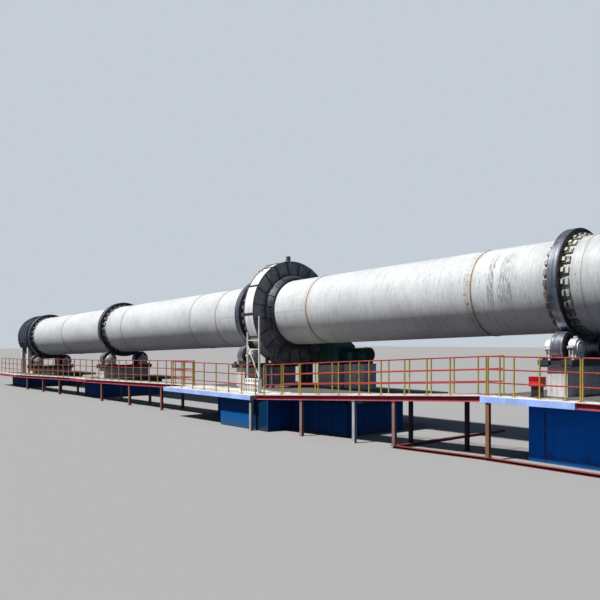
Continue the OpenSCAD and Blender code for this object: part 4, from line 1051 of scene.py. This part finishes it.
# roller frames: stiffeners, end plates, anchor bolts and the screws that set the bearings
def makeFrames():
    look = {"low": -1.27695, "plate": 0.028, "top": -1.17695, "girder": 0.189, "half": 0.86, "screwUp": 0.026,
            "webs": (-0.78, -0.42, -0.14, 0.14, 0.42, 0.78),
            "anchors": (-0.82, -0.60, -0.36, -0.12, 0.12, 0.36, 0.60, 0.82)}
    shape, bolts = bmesh.new(), []
    floor, top, half = look["low"] + look["plate"], look["top"], look["half"]
    screw = top + look["screwUp"]
    for t in kilnLine["tyres"]:
        spot = kilnSpot(t)
        for y in look["webs"]:
            addBox(shape, (-0.113, y - 0.006, floor - 0.001), (0.113, y + 0.006, top - 0.008), spot)
        for e in (-1, 1):
            girder = e * look["girder"]
            for s in (-1, 1):
                near, far = sorted((s * (half - 0.001), s * (half + 0.010)))
                addBox(shape, (girder - 0.088, near, floor - 0.002), (girder + 0.088, far, top + 0.008), spot,
                       0.002)
                near, far = sorted((s * 0.800, s * 0.822))
                addBox(shape, (girder - 0.045, near, top - 0.001), (girder + 0.045, far, top + 0.052), spot, 0.002)
                addTube(shape, (girder, s * 0.762, screw), (girder, s * 0.858, screw), 0.011, 12, spot)
                boltAt(bolts, spot, (girder, s * 0.823, screw), (0, s, 0))
            for y in look["anchors"]:
                boltAt(bolts, spot, (e * 0.2605, y, floor))
    finishShape(shape, "frameTrim", "frame", "plant", smooth=False)
    addBolts("frameBolts", bolts, 0.0095, "plant")


# support rollers: ribs and a ring of bosses in each hollow side
def makeRollers():
    look = {"ribs": 8, "inner": 0.084, "outer": 0.206, "side": 0.098, "deep": 0.024, "boss": (0.075, 0.125),
            "bossRadius": 0.012}
    bottom, boss = look["side"] - look["deep"] - 0.001, look["boss"]
    for number, t in enumerate(kilnLine["tyres"], 1):
        for side, sign in bothSides:
            shape = bmesh.new()
            spot = kilnSpot(t, sign * kilnLine["rollerOut"], kilnLine["rollerDown"])
            for k in range(look["ribs"]):
                turned = turnBy(spot, 45 * k + 11 * number)
                for e in (-1, 1):
                    ends = sorted((e * bottom, e * (look["side"] - 0.005)))
                    addBox(shape, (ends[0], -0.006, look["inner"]), (ends[1], 0.006, look["outer"]), turned)
                    ends = sorted((e * bottom, e * (look["side"] - 0.012)))
                    addTube(shape, (ends[0], *boss), (ends[1], *boss), look["bossRadius"], 10, turned)
            finishShape(shape, "rollerRibs_%d_%s" % (number, side), "dark", "roller_%d_%s_body" % (number, side),
                        smooth=False)


# drive: covers, flanges, lifting eyes, coupling hood, motor grille, all on the pinion's line
def makeDrive():
    look = {"caseAt": 1.4193, "caseLength": 0.62, "caseWidth": 0.56, "caseLow": -0.279, "caseHigh": 0.341,
            "motorAt": 2.1593, "motorLength": 0.62, "motorRadius": 0.165, "motorDown": -0.06,
            "hood": (0.118, 0.124), "eyeRadius": 0.026, "eyeThick": 0.008}
    spot = kilnSpot(0, *kilnLine["pinion"])
    shape, bolts = bmesh.new(), []
    a, b, w = look["caseAt"], look["caseAt"] + look["caseLength"], look["caseWidth"] / 2
    low, high = look["caseLow"], look["caseHigh"]
    # bolts of the joint flange half way up the case
    for k in range(9):
        for y in (-w - 0.014, w + 0.014):
            boltAt(bolts, spot, (a + (b - a) * (k + 0.5) / 9, y, 0.015))
    # cover on top, feet, and eyes to lift it by
    addBox(shape, (a + 0.10, -0.17, high - 0.002), (a + 0.36, 0.17, high + 0.014), spot, 0.003)
    for x in (a + 0.12, a + 0.23, a + 0.34):
        for y in (-0.15, 0.15):
            boltAt(bolts, spot, (x, y, high + 0.014))
    for y in (-w - 0.03, w + 0.03):
        addBox(shape, (a - 0.01, y - 0.034, low + 0.001), (b + 0.01, y + 0.034, low + 0.030), spot, 0.003)
        for k in range(5):
            boltAt(bolts, spot, (a + 0.05 + (b - a - 0.10) * k / 4, y, low + 0.030))
    corners = [math.radians(45 * k) for k in range(8)]
    ring = [(look["eyeThick"] * math.cos(c), look["eyeRadius"] + look["eyeThick"] * math.sin(c)) for c in corners]
    for x in (a + 0.12, a + 0.34):
        for y in (-0.215, 0.215):
            addSpin(shape, ring, 20, spot @ Matrix.Translation((x, y, high + 0.028)))
    # bearing caps on both ends
    for x, way in ((a - 0.022, -1), (b + 0.022, 1)):
        face = x + way * 0.014
        addSpin(shape, [(x, 0.095), (x, 0.145), (face, 0.140), (face, 0.095)], 40, spot)
        boltRing(bolts, spot, face, 0.118, 10, 9, way)
    # hood over the coupling between gearbox and motor
    m, r, down = look["motorAt"], look["motorRadius"], look["motorDown"]
    axle = spot @ Matrix.Translation((0, 0, down))
    addHoop(shape, b + 0.006, m - 0.004, *look["hood"], 24, axle, -90.0, 180.0)
    for y in (-0.121, 0.121):
        addBox(shape, (b + 0.006, y - 0.003, low + 0.02), (m - 0.004, y + 0.003, down + 0.002), spot)
    # motor: end shields, feet and a grille of rings behind the fan
    far = m + look["motorLength"]
    for x in (m + 0.002, far - 0.135):
        addHoop(shape, x, x + 0.014, r - 0.012, r + 0.006, 48, axle)
        boltRing(bolts, axle, x + 0.014, r - 0.002, 8, 22)
    for k in range(6):
        out = 0.030 + 0.022 * k
        addHoop(shape, far + 0.0005, far + 0.006, out, out + 0.006, 36, axle)
    for k in range(4):
        addBox(shape, (far + 0.0005, -0.004, -0.148), (far + 0.008, 0.004, 0.148), turnBy(axle, 45 * k))
    addBox(shape, (m + 0.19, -0.27, -0.105), (m + 0.33, -0.222, 0.075), axle, 0.004)
    finishShape(shape, "driveTrim", "green", "plant")
    addBolts("driveBolts", bolts, 0.0085, "plant", "dark")
    # pale bent vent pipe on the gearbox
    shape = bmesh.new()
    bend = [(a + 0.04, -0.20, 0.24), (a + 0.04, -0.20, 0.395), (a + 0.055, -0.20, 0.425), (a + 0.15, -0.20, 0.435)]
    for p, q in zip(bend, bend[1:]):
        addTube(shape, p, q, 0.013, 12, spot)
    finishShape(shape, "gearboxVent", "stand", "plant")


# pinion bearings: caps, covers and bolts
def makePinionBearings():
    look = {"span": 0.345, "half": 0.045, "cover": 0.0756, "boltCircle": 0.067}
    shape, bolts = bmesh.new(), []
    for e in (-1, 1):
        spot = kilnSpot(kilnLine["gearAt"] + e * look["span"], *kilnLine["pinion"])
        for s in (-1, 1):
            x = s * (look["half"] + 0.010)
            face = x + s * 0.008
            lid = [(x, 0.058), (x, look["cover"]), (face, look["cover"] - 0.004), (face, 0.058)]
            addSpin(shape, lid, 40, spot)
            boltRing(bolts, spot, face, look["boltCircle"], 6, 15, s)
            addBox(shape, (-0.036, s * 0.112 - 0.014, -0.004), (0.036, s * 0.112 + 0.014, 0.022), spot, 0.002)
            for z, y in ((0.022, 0.112), (-0.1338, 0.128)):
                for side in (-0.02, 0.02):
                    boltAt(bolts, spot, (side, s * y, z))
    finishShape(shape, "pinionBearingTrim", "frame", "plant")
    addBolts("pinionBearingBolts", bolts, 0.0065, "plant")


# end cowls: flanges, hoops, bolts and the seal leaves that wipe the shell
def makeCowls():
    look = {"ends": [(-15.639, 1), (10.55, -1)], "length": 1.15, "radius": 0.875, "hoops": (0.33, 0.60, 0.87),
            "boltCircle": 0.848, "leaves": 72, "leafOut": 0.7895, "leaf": (0.002, 0.078, 0.072), "lean": 0.05}
    shape, bolts, leaves = bmesh.new(), [], []
    r, far = look["radius"], look["length"]
    for x, way in look["ends"]:
        spot = kilnSpot(x, way=way)
        for at in look["hoops"]:
            addHoop(shape, at - 0.010, at + 0.010, r - 0.001, r + 0.020, 96, spot)
        addHoop(shape, far - 0.018, far - 0.001, r - 0.001, r + 0.022, 96, spot)
        addHoop(shape, far - 0.002, far + 0.010, 0.800, 0.862, 96, spot)
        boltRing(bolts, spot, far + 0.010, look["boltCircle"], 36)
        for k in range(12):
            addBox(shape, (0.10, -0.006, r - 0.001), (far - 0.02, 0.006, r + 0.014), turnBy(spot, 30 * k + 15))
        leaves += [x + way * (far + 0.012), x - way * 0.003]
    finishShape(shape, "cowlTrim", "cowl", "plant", smooth=False)
    addBolts("cowlBolts", bolts, 0.010, "plant")
    values = {"Out": look["leafOut"], "Count": look["leaves"], "Size": look["leaf"], "Lean": look["lean"]}
    alongKiln("sealLeaves", leaves, boxesRound, values, "frame", "plant")


# control box: door, hinges, handle, roof lip, and the dark cabinet between its legs
def makeControlBox():
    look = {"low": (7.955, -1.21, 1.125), "high": (8.165, -1.09, 1.265), "legs": (7.98, 8.14), "knobHeight": 1.185}
    low, high, knob = look["low"], look["high"], look["knobHeight"]
    front = low[1]
    shape = bmesh.new()
    addBox(shape, (low[0] + 0.010, front - 0.007, low[2] + 0.010),
           (high[0] - 0.010, front + 0.001, high[2] - 0.010), bevel=0.002)
    addBox(shape, (low[0] - 0.008, front - 0.014, high[2] - 0.001),
           (high[0] + 0.008, high[1] + 0.006, high[2] + 0.007), bevel=0.002)
    finishShape(shape, "controlBoxDoor", "box", "plant", smooth=False)
    shape = bmesh.new()
    for z in (low[2] + 0.03, high[2] - 0.04):
        addTube(shape, (low[0] + 0.008, front - 0.009, z), (low[0] + 0.008, front - 0.009, z + 0.018), 0.004, 8)
    addTube(shape, (high[0] - 0.028, front - 0.006, knob), (high[0] - 0.028, front - 0.016, knob), 0.005, 8)
    addBox(shape, (high[0] - 0.032, front - 0.019, knob - 0.020), (high[0] - 0.024, front - 0.014, knob + 0.020),
           bevel=0.001)
    for x in look["legs"]:
        addBox(shape, (x - 0.035, -1.185, 0.9655), (x + 0.035, -1.115, 0.971))
    addBox(shape, (7.99, -1.185, 0.985), (8.128, -1.118, 1.1245), bevel=0.002)
    finishShape(shape, "controlBoxFittings", "dark", "plant", smooth=False)


# grease pot on top of the guard: lid, band and drip pipe
def makePot():
    look = {"low": 0.050, "high": 0.145, "radius": 0.052, "pipeOut": 0.05, "pipe": 0.008}
    spot = kilnSpot(kilnLine["gearAt"], 0, kilnLine["guardRadius"]) @ Matrix.Rotation(math.radians(-90), 4, "Y")
    low, high, r = look["low"], look["high"], look["radius"]
    shape = bmesh.new()
    for a, b, out in ((high - 0.001, high + 0.008, r + 0.006), (high + 0.008, high + 0.018, 0.016),
                      (low + 0.035, low + 0.045, r + 0.003)):
        addSpin(shape, [(a, 0.0), (a, out), (b, out), (b, 0.0)], 32, spot, close=False)
    addTube(shape, (low + 0.02, 0.0, r), (low + 0.02, 0.0, r + look["pipeOut"]), look["pipe"], 10, spot)
    addTube(shape, (low + 0.024, 0.0, r + 0.046), (0.0, 0.0, r + 0.046), look["pipe"], 10, spot)
    finishShape(shape, "potTrim", "dark", "plant")


# floor: pale as seen, darker in what it throws up under the kiln
def makeFloor():
    look = {"seen": (0.27, 0.265, 0.26, 1), "thrown": (0.015, 0.025, 0.056, 1), "half": 160.0, "rough": 0.9}
    shape = bmesh.new()
    bmesh.ops.create_grid(shape, x_segments=1, y_segments=1, size=look["half"])
    mesh = bpy.data.meshes.new("studioFloor")
    shape.to_mesh(mesh)
    shape.free()
    material, tree = startMaterial("floorPaint", 0.0, 0.2)
    shader = tree.nodes["Principled BSDF"]
    seen = put(tree, "ShaderNodeLightPath").outputs["Is Camera Ray"]
    tree.links.new(mixColor(tree, seen, look["thrown"], look["seen"]), shader.inputs["Base Color"])
    shader.inputs["Roughness"].default_value = look["rough"]
    mesh.materials.append(material)
    addObject("studioFloor", mesh)


# every piece in turn
for make in (makeRailings, makeWelds, makeStops, makeGuard, makeFascia, makeBearings, makeColumns, makeFrames,
             makeRollers, makeDrive, makePinionBearings, makeCowls, makeControlBox, makePot, makeFloor):
    make()
    print("done:", make.__name__)
